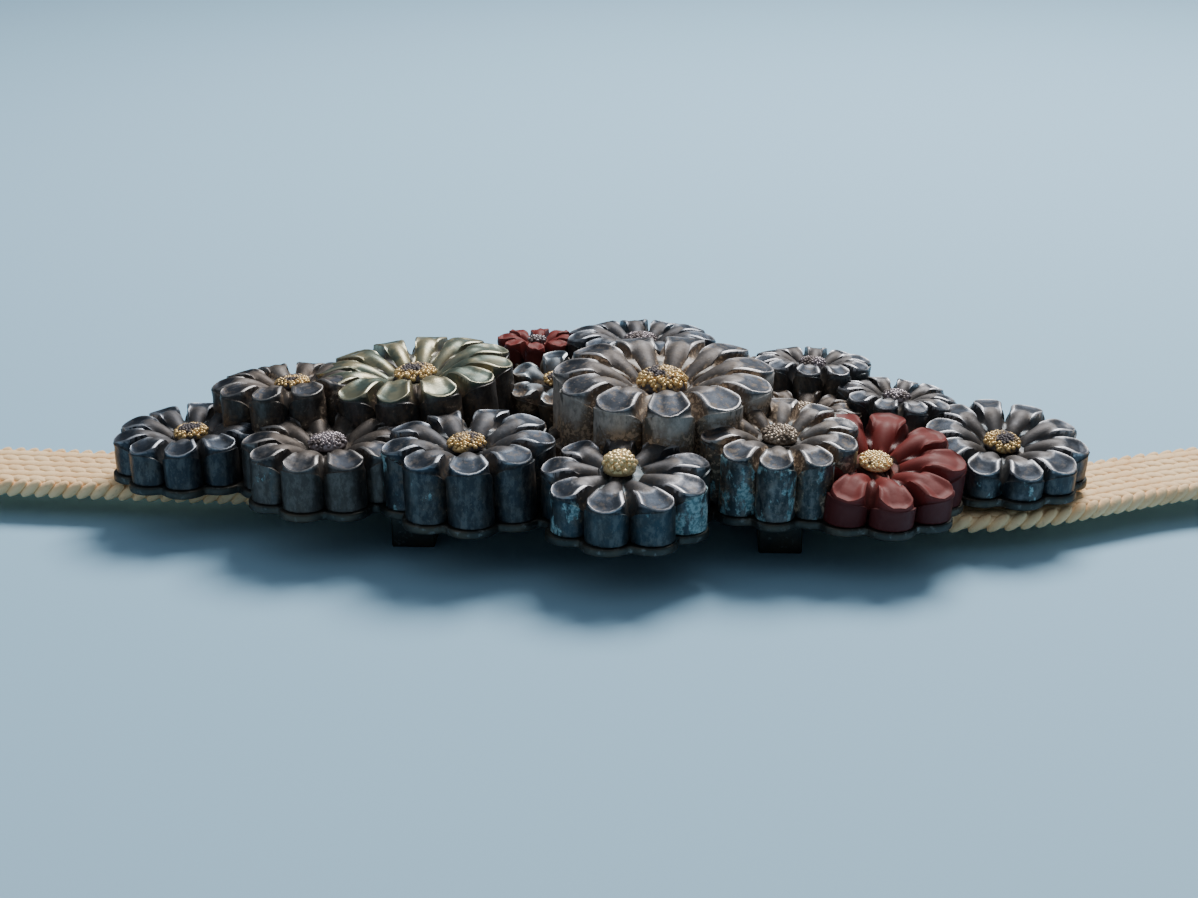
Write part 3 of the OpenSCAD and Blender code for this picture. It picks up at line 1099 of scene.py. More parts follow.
@dataclass
class BackPlate:
    """The scalloped plate under the casting, with the two cord bars soldered below it.

    Sizes in millimetres, as in the part's source.

    Attributes:
        bottom: height of the plate's underside.
        thickness: thickness of the plate.
        lip: how far it stands proud of the fluted walls.
        blend: how widely the bays between the scallops are rounded.
        bar: thickness, width and offset from the middle of the cord bars.
        slot: width and height of the cord passage.
        post: thickness of a bar's posts.
        bar_shift: shift of the bars towards the front.
        cell: size of the cells in which the outline is found.
        window: ends of the field of cells along x and y.
        oval: half length and half width of the oval under the gaps between the heads.
        sunk: how far the posts reach into the plate.
        rounding: size of the rounded edges of the bars.
        edge: size of the rounded edges of the plate.
        sharp: angle from which an edge stays sharp, in degrees.
    """

    bottom: float = 2.9
    thickness: float = 0.5
    lip: float = 0.2
    blend: float = 0.55
    bar: Triple = (0.9, 2.6, 11.0)
    slot: Pair = (9.4, 2.0)
    post: float = 1.0
    bar_shift: float = -1.4
    cell: float = 0.12
    window: tuple[Pair, Pair] = ((-31.5, 31.6), (-17.0, 17.1))
    oval: Pair = (24.5, 8.0)
    sunk: float = 0.1
    rounding: float = 0.16
    edge: float = 0.09
    sharp: float = 50.0

    def discs(self) -> Array:
        """Finds discs that together make the plan of the casting's foot.

        Returns:
            Rows of x, y and radius.
        """
        rows = []
        for bloom in BLOOMS:
            head = FlowerHead(bloom, Relief(), FOOT_Z, 0)
            axis = head.axis()
            for k in range(bloom.petals):
                angle = math.radians(bloom.first) + 2 * math.pi * k / bloom.petals
                tip = (np.array(head.ring), np.array(0.0), head.rise(np.array(1.0)))
                place = head.spread(angle, *tip)
                foot = place - axis * (place[2] - FOOT_Z) / axis[2]
                rows.append([foot[0], foot[1], head.lobe])
            middle = np.array(bloom.middle)
            foot = middle - axis * (middle[2] - FOOT_Z) / axis[2]
            rows.append([foot[0], foot[1], head.crossing * 0.97])
        return np.array(rows)

    def depth(self, x: Array, y: Array, discs: Array) -> Array:
        """Distance outside the plan, negative inside, with its bays rounded off.

        Args:
            x: places along x.
            y: places along y.
            discs: the discs that make the plan.

        Returns:
            The distances in millimetres.
        """
        soft = self.blend / 4
        long, wide = self.oval
        gaps = [np.hypot(x - cx, y - cy) - r for cx, cy, r in discs]
        gaps.append((np.hypot(x / long, y / wide) - 1) * wide)
        total = np.zeros(x.shape)
        for gap in gaps:
            total += np.exp(-np.clip(gap / soft, -40, 40))
        return -soft * np.log(total + 1e-30) - self.lip

    @staticmethod
    def crossings(inside: Array) -> dict[tuple[int, int, int], list[tuple[int, int, int]]]:
        """Finds the edges of the cells that the outline crosses, and which of them follow each other.

        Args:
            inside: whether each corner of the cells lies inside the plan.

        Returns:
            The neighbours of each edge: its first corner's row and column, and 0 along x or 1 along y.
        """
        found: dict[tuple[int, int, int], list[tuple[int, int, int]]] = {}
        change = (inside[:-1, :-1] != inside[1:, 1:]) | (inside[:-1, 1:] != inside[1:, :-1])
        change |= inside[:-1, :-1] != inside[:-1, 1:]
        for i, j in np.argwhere(change):
            corners = inside[i, j], inside[i, j + 1], inside[i + 1, j + 1], inside[i + 1, j], inside[i, j]
            edges = (i, j, 0), (i, j + 1, 1), (i + 1, j, 0), (i, j, 1)
            cuts = [edge for edge, here, there in zip(edges, corners, corners[1:]) if here != there]
            for one, other in zip(cuts[::2], cuts[1::2]):
                found.setdefault(one, []).append(other)
                found.setdefault(other, []).append(one)
        return found

    def outline(self) -> Array:
        """Finds the plate's outline, where the depth is zero.

        Returns:
            A closed loop of places in millimetres, anticlockwise.
        """
        discs = self.discs()
        xs, ys = (np.arange(*ends, self.cell) for ends in self.window)
        depths = self.depth(*np.meshgrid(xs, ys), discs)
        edges = self.crossings(depths < 0)
        loops, left = [], set(edges)
        while left:
            here = left.pop()
            loop = [here]
            while (here := next((e for e in edges[here] if e in left), None)) is not None:
                left.discard(here)
                loop.append(here)
            loops.append(loop)
        points = []
        for i, j, way in max(loops, key=len):
            i2, j2 = (i, j + 1) if way == 0 else (i + 1, j)
            t = depths[i, j] / (depths[i, j] - depths[i2, j2])
            points.append([xs[j] * (1 - t) + xs[j2] * t, ys[i] * (1 - t) + ys[i2] * t])
        line = np.array(points)
        for _ in range(3):
            line = line * 0.5 + 0.25 * (np.roll(line, 1, axis=0) + np.roll(line, -1, axis=0))
        # even spacing, then back onto the line where the depth is zero
        ring = np.vstack([line, line[:1]])
        run = np.concatenate([[0], np.cumsum(np.linalg.norm(np.diff(ring, axis=0), axis=1))])
        at = np.linspace(0, run[-1], int(run[-1] / self.cell), endpoint=False)
        line = np.stack([np.interp(at, run, ring[:, 0]), np.interp(at, run, ring[:, 1])], axis=-1)
        for _ in range(2):
            line -= self.outward(line, discs) * self.depth(line[:, 0], line[:, 1], discs)[:, None]
        area = 0.5 * np.sum(line[:, 0] * np.roll(line[:, 1], -1) - np.roll(line[:, 0], -1) * line[:, 1])
        return line if area > 0 else line[::-1]

    def outward(self, line: Array, discs: Array) -> Array:
        """Finds the directions that point out of the plan.

        Args:
            line: places in millimetres.
            discs: the discs that make the plan.

        Returns:
            A unit vector for each place.
        """
        h = 0.02
        gx = self.depth(line[:, 0] + h, line[:, 1], discs) - self.depth(line[:, 0] - h, line[:, 1], discs)
        gy = self.depth(line[:, 0], line[:, 1] + h, discs) - self.depth(line[:, 0], line[:, 1] - h, discs)
        g = np.stack([gx, gy], axis=-1)
        return g / np.maximum(np.linalg.norm(g, axis=1, keepdims=True), 1e-9)

    def bars(self, bm: bmesh.types.BMesh) -> None:
        """Adds the two strap bars with their posts.

        Args:
            bm: the mesh that gets them.
        """
        thick, wide, offset = self.bar
        span = self.slot[0]
        outer = span / 2 + self.post
        half, top = span / 2, self.bottom + self.sunk
        profile = [
            (-outer, top), (-outer, 0.0), (outer, 0.0), (outer, top),
            (half, top), (half, thick), (-half, thick), (-half, top),
        ]
        for x in (-offset, offset):
            near = [bm.verts.new(Vector((x - wide / 2, y + self.bar_shift, z)) * MM) for y, z in profile]
            far = [bm.verts.new(Vector((x + wide / 2, y + self.bar_shift, z)) * MM) for y, z in profile]
            faces = [bm.faces.new(near), bm.faces.new(far[::-1])]
            for k in range(len(profile)):
                m = (k + 1) % len(profile)
                faces.append(bm.faces.new([near[k], far[k], far[m], near[m]]))
            edges = list({e for f in faces for e in f.edges})
            size = self.rounding * MM
            bmesh.ops.bevel(bm, geom=edges, offset=size, segments=3, affect="EDGES", profile=0.6)

    def piece(self, name: str, finish: Material) -> Object:
        """Builds the plate with its bars.

        Args:
            name: name of the piece.
            finish: its material.

        Returns:
            The piece.
        """
        discs = self.discs()
        line = self.outline()
        out = self.outward(line, discs)
        soft, part = self.edge, self.edge * 0.3
        top = self.bottom + self.thickness
        levels = [
            (self.bottom, soft), (self.bottom + part, part), (self.bottom + soft, 0.0),
            (top - soft, 0.0), (top - part, part), (top, soft),
        ]
        bm = bmesh.new()
        rows = []
        for z, inset in levels:
            places = line - out * inset
            rows.append([bm.verts.new(Vector((x, y, z)) * MM) for x, y in places])
        count = len(line)
        for low, high in zip(rows, rows[1:]):
            for k in range(count):
                m = (k + 1) % count
                bm.faces.new([low[k], low[m], high[m], high[k]])
        bm.faces.new(rows[0][::-1])
        bm.faces.new(rows[-1])
        self.bars(bm)
        bmesh.ops.recalc_face_normals(bm, faces=bm.faces)
        for edge in bm.edges:
            edge.smooth = edge.calc_face_angle(0.0) < math.radians(self.sharp)
        for face in bm.faces:
            face.smooth = True
        mesh = bpy.data.meshes.new(name)
        bm.to_mesh(mesh)
        bm.free()
        mesh.materials.append(finish)
        return link(bpy.data.objects.new(name, mesh))


@dataclass(frozen=True)
class Braid:
    """How the flat cord is braided, with its sizes as shares of the cord's own.

    Attributes:
        core: width of the core under the stitches, and its thickness and corner radius in thicknesses.
        span: how much of the width the rows on the faces take up.
        level: height of those rows over and under the middle, in thicknesses.
        lean: how far neighbouring rows lean apart, in radians.
        stitch: half length in lays, half width in rows and half height in thicknesses of a stitch.
        edge_gap: distance between the two edge rows, in widths.
        edge_lay: distance between two edge strands, in lays.
        edge_tilt: tilt of the edge strands, in radians.
        strand: half length, half width and half height of an edge strand, in lays.
        ball: sides and rings of every stitch.
    """

    core: Triple = (0.93, 0.66, 0.3)
    span: float = 0.84
    level: float = 0.31
    lean: float = 0.62
    stitch: Triple = (0.80, 0.60, 0.2)
    edge_gap: float = 0.90
    edge_lay: float = 0.88
    edge_tilt: float = -0.66
    strand: Triple = (0.84, 0.40, 0.36)
    ball: tuple[int, int] = (7, 6)

    def tree(self) -> tuple[NodeTree, dict[str, str]]:
        """Builds the Geometry Nodes tree that braids stitches round a flat core.

        Returns:
            The tree, and the identifier of each named input.
        """
        sizes = {"Width": "Float", "Thickness": "Float", "Lay": "Float", "Rows": "Int", "Silk": "Material"}
        wanted = {"Path": "Geometry", **sizes}
        tree, ids = new_group("Flat braid", "GeometryNodeTree", wanted, {"Braid": "Geometry"})
        g = Nodes(tree)
        given = g.add("NodeGroupInput").outputs
        width, thick, lay, rows = given["Width"], given["Thickness"], given["Lay"], given["Rows"]
        join = g.add("GeometryNodeJoinGeometry")
        g.wire(self.flat_core(g, given), join.inputs["Geometry"])
        step = g.maths("DIVIDE", self.span, rows)
        long, wide, high = self.stitch
        size = (g.times(lay, long), g.times(g.times(step, width), wide), g.times(thick, high))
        middle = g.times(g.minus(rows, 1.0), 0.5)
        for level in (self.level, -self.level):
            face = self.stitches(g, given, lay, rows, (middle, step), level, (0.0, self.lean), Z_AXIS, size)
            g.wire(face, join.inputs["Geometry"])
        size, lay = tuple(g.times(lay, share) for share in self.strand), g.times(lay, self.edge_lay)
        across, turn = (0.5, self.edge_gap), (self.edge_tilt, 0.0)
        g.wire(self.stitches(g, given, lay, 2, across, 0.0, turn, Y_AXIS, size), join.inputs["Geometry"])
        g.end(join.outputs["Geometry"], given["Silk"], "Braid")
        return tree, ids

    def flat_core(self, g: Nodes, given: NodeOutputs) -> NodeSocket:
        """Sweeps the flat core along the path.

        Args:
            g: the tree's helper.
            given: the tree's inputs.

        Returns:
            The core's mesh.
        """
        width, thickness, corner = self.core
        upright = g.add("GeometryNodeSetCurveNormal", {"Curve": given["Path"]}, mode="Z_UP")
        thick = given["Thickness"]
        sides = {"Width": g.times(given["Width"], width), "Height": g.times(thick, thickness)}
        section = g.add("GeometryNodeCurvePrimitiveQuadrilateral", sides)
        rounding = {"Curve": section.outputs["Curve"], "Radius": g.times(thick, corner), "Count": 4}
        fillet = g.add("GeometryNodeFilletCurve", rounding, mode="POLY")
        path, profile = upright.outputs["Curve"], fillet.outputs["Curve"]
        swept = {"Curve": path, "Profile Curve": profile, "Fill Caps": True}
        return g.add("GeometryNodeCurveToMesh", swept).outputs["Mesh"]

    def stitches(
        self, g: Nodes, given: NodeOutputs, lay: object, copies: object, across: tuple[object, object],
        level: float, turn: Pair, axis: Triple, size: tuple[object, object, object],
    ) -> NodeSocket:
        """Sets rows of stitches along the path.

        Args:
            g: the tree's helper.
            given: the tree's inputs.
            lay: distance between two stitches of a row.
            copies: number of rows.
            across: number of the row that would lie in the middle, and distance between two rows in widths.
            level: height over the middle, in thicknesses.
            turn: turn of every stitch, and how far neighbouring rows turn apart, in radians.
            axis: the axis that they turn about.
            size: half length, half width and half height of a stitch.

        Returns:
            The stitches as instances.
        """
        dots = g.add("GeometryNodeCurveToPoints", {"Length": lay, "Curve": given["Path"]}, mode="LENGTH")
        kept = {"Geometry": dots.outputs["Points"], "Name": "run"}
        keep = g.add("GeometryNodeStoreNamedAttribute", kept, data_type="FLOAT_VECTOR", domain="POINT")
        g.wire(dots.outputs["Tangent"], keep.inputs["Value"])
        copied = {"Geometry": keep.outputs["Geometry"], "Amount": copies}
        copy = g.add("GeometryNodeDuplicateElements", copied, domain="POINT")
        row = copy.outputs["Duplicate Index"]
        run = g.add("GeometryNodeInputNamedAttribute", {"Name": "run"}, data_type="FLOAT_VECTOR")
        along = run.outputs["Attribute"]
        odd = g.maths("MODULO", row, 2.0)
        place = g.times(g.times(g.minus(row, across[0]), across[1]), given["Width"])
        angle = g.plus(turn[0], g.times(g.minus(odd, 0.5), turn[1]))
        side = g.vector("NORMALIZE", g.vector("CROSS_PRODUCT", Z_AXIS, along))
        shift = g.vector("SCALE", along, scale=g.times(g.times(odd, lay), 0.5))
        out_to = g.vector("SCALE", side, scale=place)
        lift = g.vector("SCALE", Z_AXIS, scale=g.times(level, given["Thickness"]))
        offset = g.vector("ADD", g.vector("ADD", shift, out_to), lift)
        move = g.add("GeometryNodeSetPosition", {"Geometry": copy.outputs["Geometry"], "Offset": offset})
        aim = g.add("FunctionNodeAlignRotationToVector", {"Vector": along}, axis="X", pivot_axis="Z")
        twist = g.add("FunctionNodeAxisAngleToRotation", {"Axis": axis, "Angle": angle})
        turns = {"Rotation": aim.outputs["Rotation"], "Rotate By": twist.outputs["Rotation"]}
        turned = g.add("FunctionNodeRotateRotation", turns, rotation_space="LOCAL")
        sides, rings = self.ball
        ball = g.add("GeometryNodeMeshUVSphere", {"Segments": sides, "Rings": rings, "Radius": 1.0})
        laid = {"Geometry": ball.outputs["Mesh"], "Rotation": (0.0, math.pi / 2, 0.0)}
        lying = g.add("GeometryNodeTransform", laid)
        scale = g.add("ShaderNodeCombineXYZ", dict(enumerate(size)))
        return g.add("GeometryNodeInstanceOnPoints", {
            "Points": move.outputs["Geometry"], "Instance": lying.outputs["Geometry"],
            "Rotation": turned.outputs["Rotation"], "Scale": scale.outputs["Vector"],
        }).outputs["Instances"]


@dataclass
class SashCord:
    """The flat braided cord through the brooch, in millimetres.

    Attributes:
        width: width of the braid.
        thickness: thickness of the braid.
        middle: height of its middle line.
        lay: length of one strand's turn at the edge.
        rows: rows of stitches across each face.
        route: places that its middle line passes through, as in the part's source.
    """

    width: float = 6.2
    thickness: float = 1.1
    middle: float = 1.9
    lay: float = 1.0
    rows: int = 6
    route: tuple[Triple, ...] = (
        (-44, 0.1, 0), (-38, -0.2, 0), (-30, -0.7, 0), (-22, -1.1, 0), (-11, -1.5, 0), (0, -1.9, 0),
        (11, -2.5, 0), (17, -3.3, 0), (22, -3.7, 0), (26, -2.7, 0), (30, -0.7, 0), (34, 1.3, 0),
        (38, 2.7, 0.1), (44, 4.5, 0.3),
    )

    def line(self, steps: int) -> Array:
        """The middle line, on a curve through the route's places.

        Args:
            steps: points between two places.

        Returns:
            Places in millimetres.
        """
        at = np.array(self.route, float) + np.array([0, 0, self.middle])
        last = len(at) - 1
        points = []
        for i in range(last):
            p0, p1, p2, p3 = at[max(i - 1, 0)], at[i], at[i + 1], at[min(i + 2, last)]
            for t in np.arange(steps) / steps:
                points.append(
                    0.5 * (2 * p1 + (p2 - p0) * t + (2 * p0 - 5 * p1 + 4 * p2 - p3) * t**2
                           + (3 * p1 - 3 * p2 + p3 - p0) * t**3)
                )
        return np.array([*points, at[-1]])

    def piece(self, name: str, silk: Material) -> Object:
        """Builds the braid along its path.

        Args:
            name: name of the piece.
            silk: its material.

        Returns:
            The piece.
        """
        curve = bpy.data.curves.new(f"{name}_path", "CURVE")
        curve.dimensions = "3D"
        points = self.line(8) * MM
        spline = curve.splines.new("POLY")
        spline.points.add(len(points) - 1)
        for point, place in zip(spline.points, points):
            point.co = (*place, 1.0)
        obj = link(bpy.data.objects.new(name, curve))
        tree, ids = Braid().tree()
        nodes = obj.modifiers.new("braid", "NODES")
        nodes.node_group = tree
        nodes[ids["Width"]], nodes[ids["Thickness"]] = self.width * MM, self.thickness * MM
        nodes[ids["Lay"]], nodes[ids["Rows"]], nodes[ids["Silk"]] = self.lay * MM, self.rows, silk
        return baked(obj, [])


@dataclass(frozen=True)
class Pattern:
    """A patchy noise over a piece.

    Attributes:
        scale: waves a millimetre.
        detail: how many finer octaves it has.
        rough: how strong the finer ones are.
        low: noise value where patches start to show.
        high: noise value where they are full.
        stretch: scale along x, y and z, or none.
    """

    scale: float
    detail: float = 4.0
    rough: float = 0.6
    low: float = 0.0
    high: float = 1.0
    stretch: Triple | None = None


@dataclass(frozen=True)
class Tint:
    """A colour that lies over part of a surface.

    Attributes:
        colour: the colour.
        share: how strongly its mask counts.
        cover: how much of the colour under it it hides.
    """

    colour: Triple
    share: float = 1.0
    cover: float = 1.0


class ShaderNodes(Nodes):
    """Helpers for one shader tree; values are sockets or plain numbers."""

    def __init__(self, tree: NodeTree, place: NodeSocket) -> None:
        """Keeps the tree, and the socket that holds a point's place on the piece."""
        super().__init__(tree)
        self.place = place

    def most(self, first: object, *others: object) -> NodeSocket:
        """Takes the largest of several values.

        Args:
            first: one value.
            others: the other ones.

        Returns:
            The largest.
        """
        for other in others:
            first = self.maths("MAXIMUM", first, other)
        return first

    def mixed(self, kind: str, share: object, a: object, b: object) -> NodeSocket:
        """Mixes a and b of one kind, RGBA or FLOAT, by a share of b."""
        return self.add("ShaderNodeMix", {"Factor": share, "A": a, "B": b}, data_type=kind).outputs["Result"]

    def mix(self, share: object, a: object, b: object) -> NodeSocket:
        """Mixes two colours."""
        return self.mixed("RGBA", share, a, b)

    def blend(self, share: object, a: object, b: object) -> NodeSocket:
        """Mixes two numbers."""
        return self.mixed("FLOAT", share, a, b)

    def steps(self, value: object, low: float, high: float) -> NodeSocket:
        """Rises smoothly from 0 at low to 1 at high."""
        given = {"Value": value, "From Min": low, "From Max": high}
        return self.add("ShaderNodeMapRange", given, interpolation_type="SMOOTHSTEP").outputs["Result"]

    def noise(self, pattern: Pattern) -> NodeSocket:
        """The plain noise of a pattern, around 0.5.

        Args:
            pattern: the pattern.

        Returns:
            The noise.
        """
        place = self.place
        if pattern.stretch is not None:
            given = {"Vector": place, "Scale": pattern.stretch}
            place = self.add("ShaderNodeMapping", given).outputs["Vector"]
        given = {"Vector": place, "Scale": pattern.scale / MM}
        given |= {"Detail": pattern.detail, "Roughness": pattern.rough}
        return self.add("ShaderNodeTexNoise", given).outputs["Fac"]

    def patches(self, pattern: Pattern) -> NodeSocket:
        """The patches of a pattern, 0 between them and 1 in them."""
        return self.steps(self.noise(pattern), pattern.low, pattern.high)


class Finish(ShaderNodes):
    """A procedural material with one Principled BSDF."""

    def __init__(self, name: str) -> None:
        """Makes the material and clears it of all but the shader.

        Args:
            name: its name.
        """
        self.material = bpy.data.materials.new(name)
        self.material.use_nodes = True
        tree = self.material.node_tree
        tree.nodes.clear()
        super().__init__(tree, tree.nodes.new("ShaderNodeTexCoord").outputs["Object"])
        self.shader = self.add("ShaderNodeBsdfPrincipled")
        self.wire(self.shader.outputs["BSDF"], self.add("ShaderNodeOutputMaterial").inputs["Surface"])

    def set(self, **values: object) -> None:
        """Gives the shader's inputs their values.

        Args:
            values: values by the input's name, with underscores for blanks.
        """
        for name, value in values.items():
            self.wire(value, self.shader.inputs[name.replace("_", " ")])

    def attribute(self, name: str) -> bpy.types.Node:
        """The node that reads one of the mesh's attributes."""
        return self.add("ShaderNodeAttribute", attribute_name=name)

    def tint(self, base: object, mask: object, tint: Tint) -> NodeSocket:
        """Lays a tint over a colour.

        Args:
            base: the colour under it.
            mask: where the tint lies, 0 to 1.
            tint: the tint.

        Returns:
            The colour with the tint.
        """
        mask = mask if tint.share == 1.0 else self.times(mask, tint.share)
        over = tint.colour if tint.cover == 1.0 else self.mix(tint.cover, base, tint.colour)
        return self.mix(mask, base, over)

    def use(self, group: NodeTree, **values: object) -> NodeOutputs:
        """Places a shared effect in the material.

        Args:
            group: the effect's node group.
            values: its inputs by name.

        Returns:
            The group's outputs.
        """
        given = {"Place": self.place, **values}
        return self.add("ShaderNodeGroup", given, node_tree=group).outputs

    def bump(self, pattern: Pattern, distance: float, strength: float, under: object = None) -> NodeSocket:
        """Adds fine unevenness.

        Args:
            pattern: the noise that gives its height.
            distance: its height in millimetres.
            strength: how strongly it shows.
            under: a normal that is already uneven, or none.

        Returns:
            The normal.
        """
        given = {"Distance": distance * MM, "Strength": strength, "Height": self.noise(pattern)}
        given["Normal"] = under
        return self.add("ShaderNodeBump", given).outputs["Normal"]


@dataclass(frozen=True)
class Effects:
    """Effects that several finishes share, as shader node groups.

    Attributes:
        broad: broad clouds of rubbing.
        fine: fine break-up of worn metal.
        rim_edge: values where a rim starts to be bare and is bare.
        rubbed_edge: values where a face starts to be bare and is bare.
        patchy: patches of brown dirt.
        specks: fine break-up of the crevice black, which is partly painted shade, and of the dirt.
        deep_edge: values where the black of a crevice, partly dirt and partly painted shade, starts and is
            full.
        band_edge: how shut in a point is where the brown film starts and is full.
        film_edge: values where the film starts and is full.
        glint_edge: values where the pale flecks, partly residue and partly painted glint, start and are full.
    """

    broad: Pattern = Pattern(0.45, 3.0, 0.55)
    fine: Pattern = Pattern(3.2, 5.0, 0.7)
    rim_edge: Pair = (0.42, 0.74)
    rubbed_edge: Pair = (0.12, 0.62)
    patchy: Pattern = Pattern(0.6, 4.0, 0.65)
    specks: Pattern = Pattern(4.0, 3.0, 0.6)
    deep_edge: Pair = (0.42, 0.95)
    band_edge: Pair = (0.12, 0.34)
    film_edge: Pair = (0.78, 0.98)
    glint_edge: Pair = (1.0, 1.08)

    @staticmethod
    def group(name: str, inputs: tuple[str, ...], outputs: tuple[str, ...]) -> tuple:
        """Starts a group of numbers that also knows a point's place.

        Args:
            name: the group's name.
            inputs: names of the numbers that go in.
            outputs: names of the numbers that come out.

        Returns:
            The group's helper, its inputs as sockets and its outputs as sockets.
        """
        wanted = {"Place": "Vector", **dict.fromkeys(inputs, "Float")}
        tree, _ = new_group(name, "ShaderNodeTree", wanted, dict.fromkeys(outputs, "Float"))
        given = tree.nodes.new("NodeGroupInput").outputs
        return ShaderNodes(tree, given["Place"]), given, tree.nodes.new("NodeGroupOutput").inputs

    def worn_metal(self) -> NodeTree:
        """Edge wear: how bare the metal is, from the rim's mask, the openness and the amount of rubbing.

        Returns:
            The group.
        """
        g, given, out = self.group("Worn metal", ("Rim", "Open", "Amount", "Luck"), ("Bare",))
        broad, fine = g.noise(self.broad), g.noise(self.fine)
        rim = g.steps(g.times(given["Rim"], g.plus(0.35, g.times(fine, 1.3))), *self.rim_edge)
        rubbed = g.plus(g.times(broad, 0.8), g.times(fine, 0.35))
        rubbed = g.plus(rubbed, g.times(g.minus(given["Luck"], 0.5), 0.22))
        rubbed = g.plus(rubbed, g.minus(g.times(given["Amount"], 0.9), 0.55))
        rubbed = g.times(g.steps(rubbed, *self.rubbed_edge), g.maths("POWER", given["Open"], 1.4))
        bare = g.plus(g.times(rim, g.plus(0.62, given["Amount"])), rubbed, True)
        g.wire(bare, out["Bare"])
        return g.tree

    def crevice_grime_and_shade(self) -> NodeTree:
        """Crevice marks: black deep in them, partly dirt and partly painted shade; a brown film of dirt along
        their edges; and paler flecks in that film, partly residue and partly painted glint.

        Returns:
            The group.
        """
        g, given, out = self.group("Crevice grime", ("Open", "Amount"), ("Dark", "Film", "Glint"))
        patch, speck, amount = g.noise(self.patchy), g.noise(self.specks), given["Amount"]
        shut = g.minus(1.0, given["Open"])
        # black where a point is shut in: partly dirt, partly painted shade
        dark = g.steps(g.plus(shut, g.times(g.minus(speck, 0.5), 0.3)), *self.deep_edge)
        band = g.times(g.steps(shut, *self.band_edge), amount)
        tan = g.plus(g.plus(g.times(patch, 0.8), g.times(speck, 0.7)), g.times(amount, 0.22))
        g.wire(dark, out["Dark"])
        g.wire(g.times(band, g.steps(tan, *self.film_edge), True), out["Film"])
        # pale flecks in the film: partly residue, partly painted glint
        g.wire(g.times(band, g.steps(tan, *self.glint_edge), True), out["Glint"])
        return g.tree


class PaintedSurface:
    """What the casting's attributes say at a point, as sockets of one material."""

    WALL_EDGE = (0.02, 0.14)
    DISH_GAIN = 1.6

    def __init__(self, f: Finish, wear: NodeTree, grime_and_shade: NodeTree) -> None:
        """Reads the attributes.

        Args:
            f: the material.
            wear: the worn metal effect.
            grime_and_shade: the crevice effect, grime and painted shade.
        """
        self.f, self.wear_effect, self.grime_and_shade_effect = f, wear, grime_and_shade
        masks, petal, worn, side = (f.attribute(name).outputs for name in PAINTED)
        split = f.add("ShaderNodeSeparateColor")
        f.wire(masks["Color"], split.inputs[0])
        self.rim, wall, self.luck = split.outputs[0], split.outputs[1], split.outputs[2]
        self.lift, self.soil = masks["Alpha"], petal["Alpha"]
        self.rubbing, self.mottle = worn["Alpha"], side["Alpha"]
        self.bare_colour = worn["Color"]
        self.open = f.attribute("openness").outputs["Fac"]
        self.on_wall = f.steps(wall, *self.WALL_EDGE)
        # where the dished faces get their painted shade
        self.dished = f.times(self.lift, f.blend(self.on_wall, self.DISH_GAIN, 0.0), True)
        self.base = f.mix(self.on_wall, petal["Color"], side["Color"])

    def bare(self, amount: object) -> NodeSocket:
        """How bare the metal is, for an amount of rubbing."""
        given = {"Rim": self.rim, "Open": self.open, "Luck": self.luck, "Amount": amount}
        return self.f.use(self.wear_effect, **given)["Bare"]

    def dirt(self) -> NodeOutputs:
        """The crevice marks: Dark, partly dirt and partly painted shade; Film, brown dirt; and Glint, pale
        flecks, partly residue and partly painted glint.
        """
        return self.f.use(self.grime_and_shade_effect, Open=self.open, Amount=self.soil)


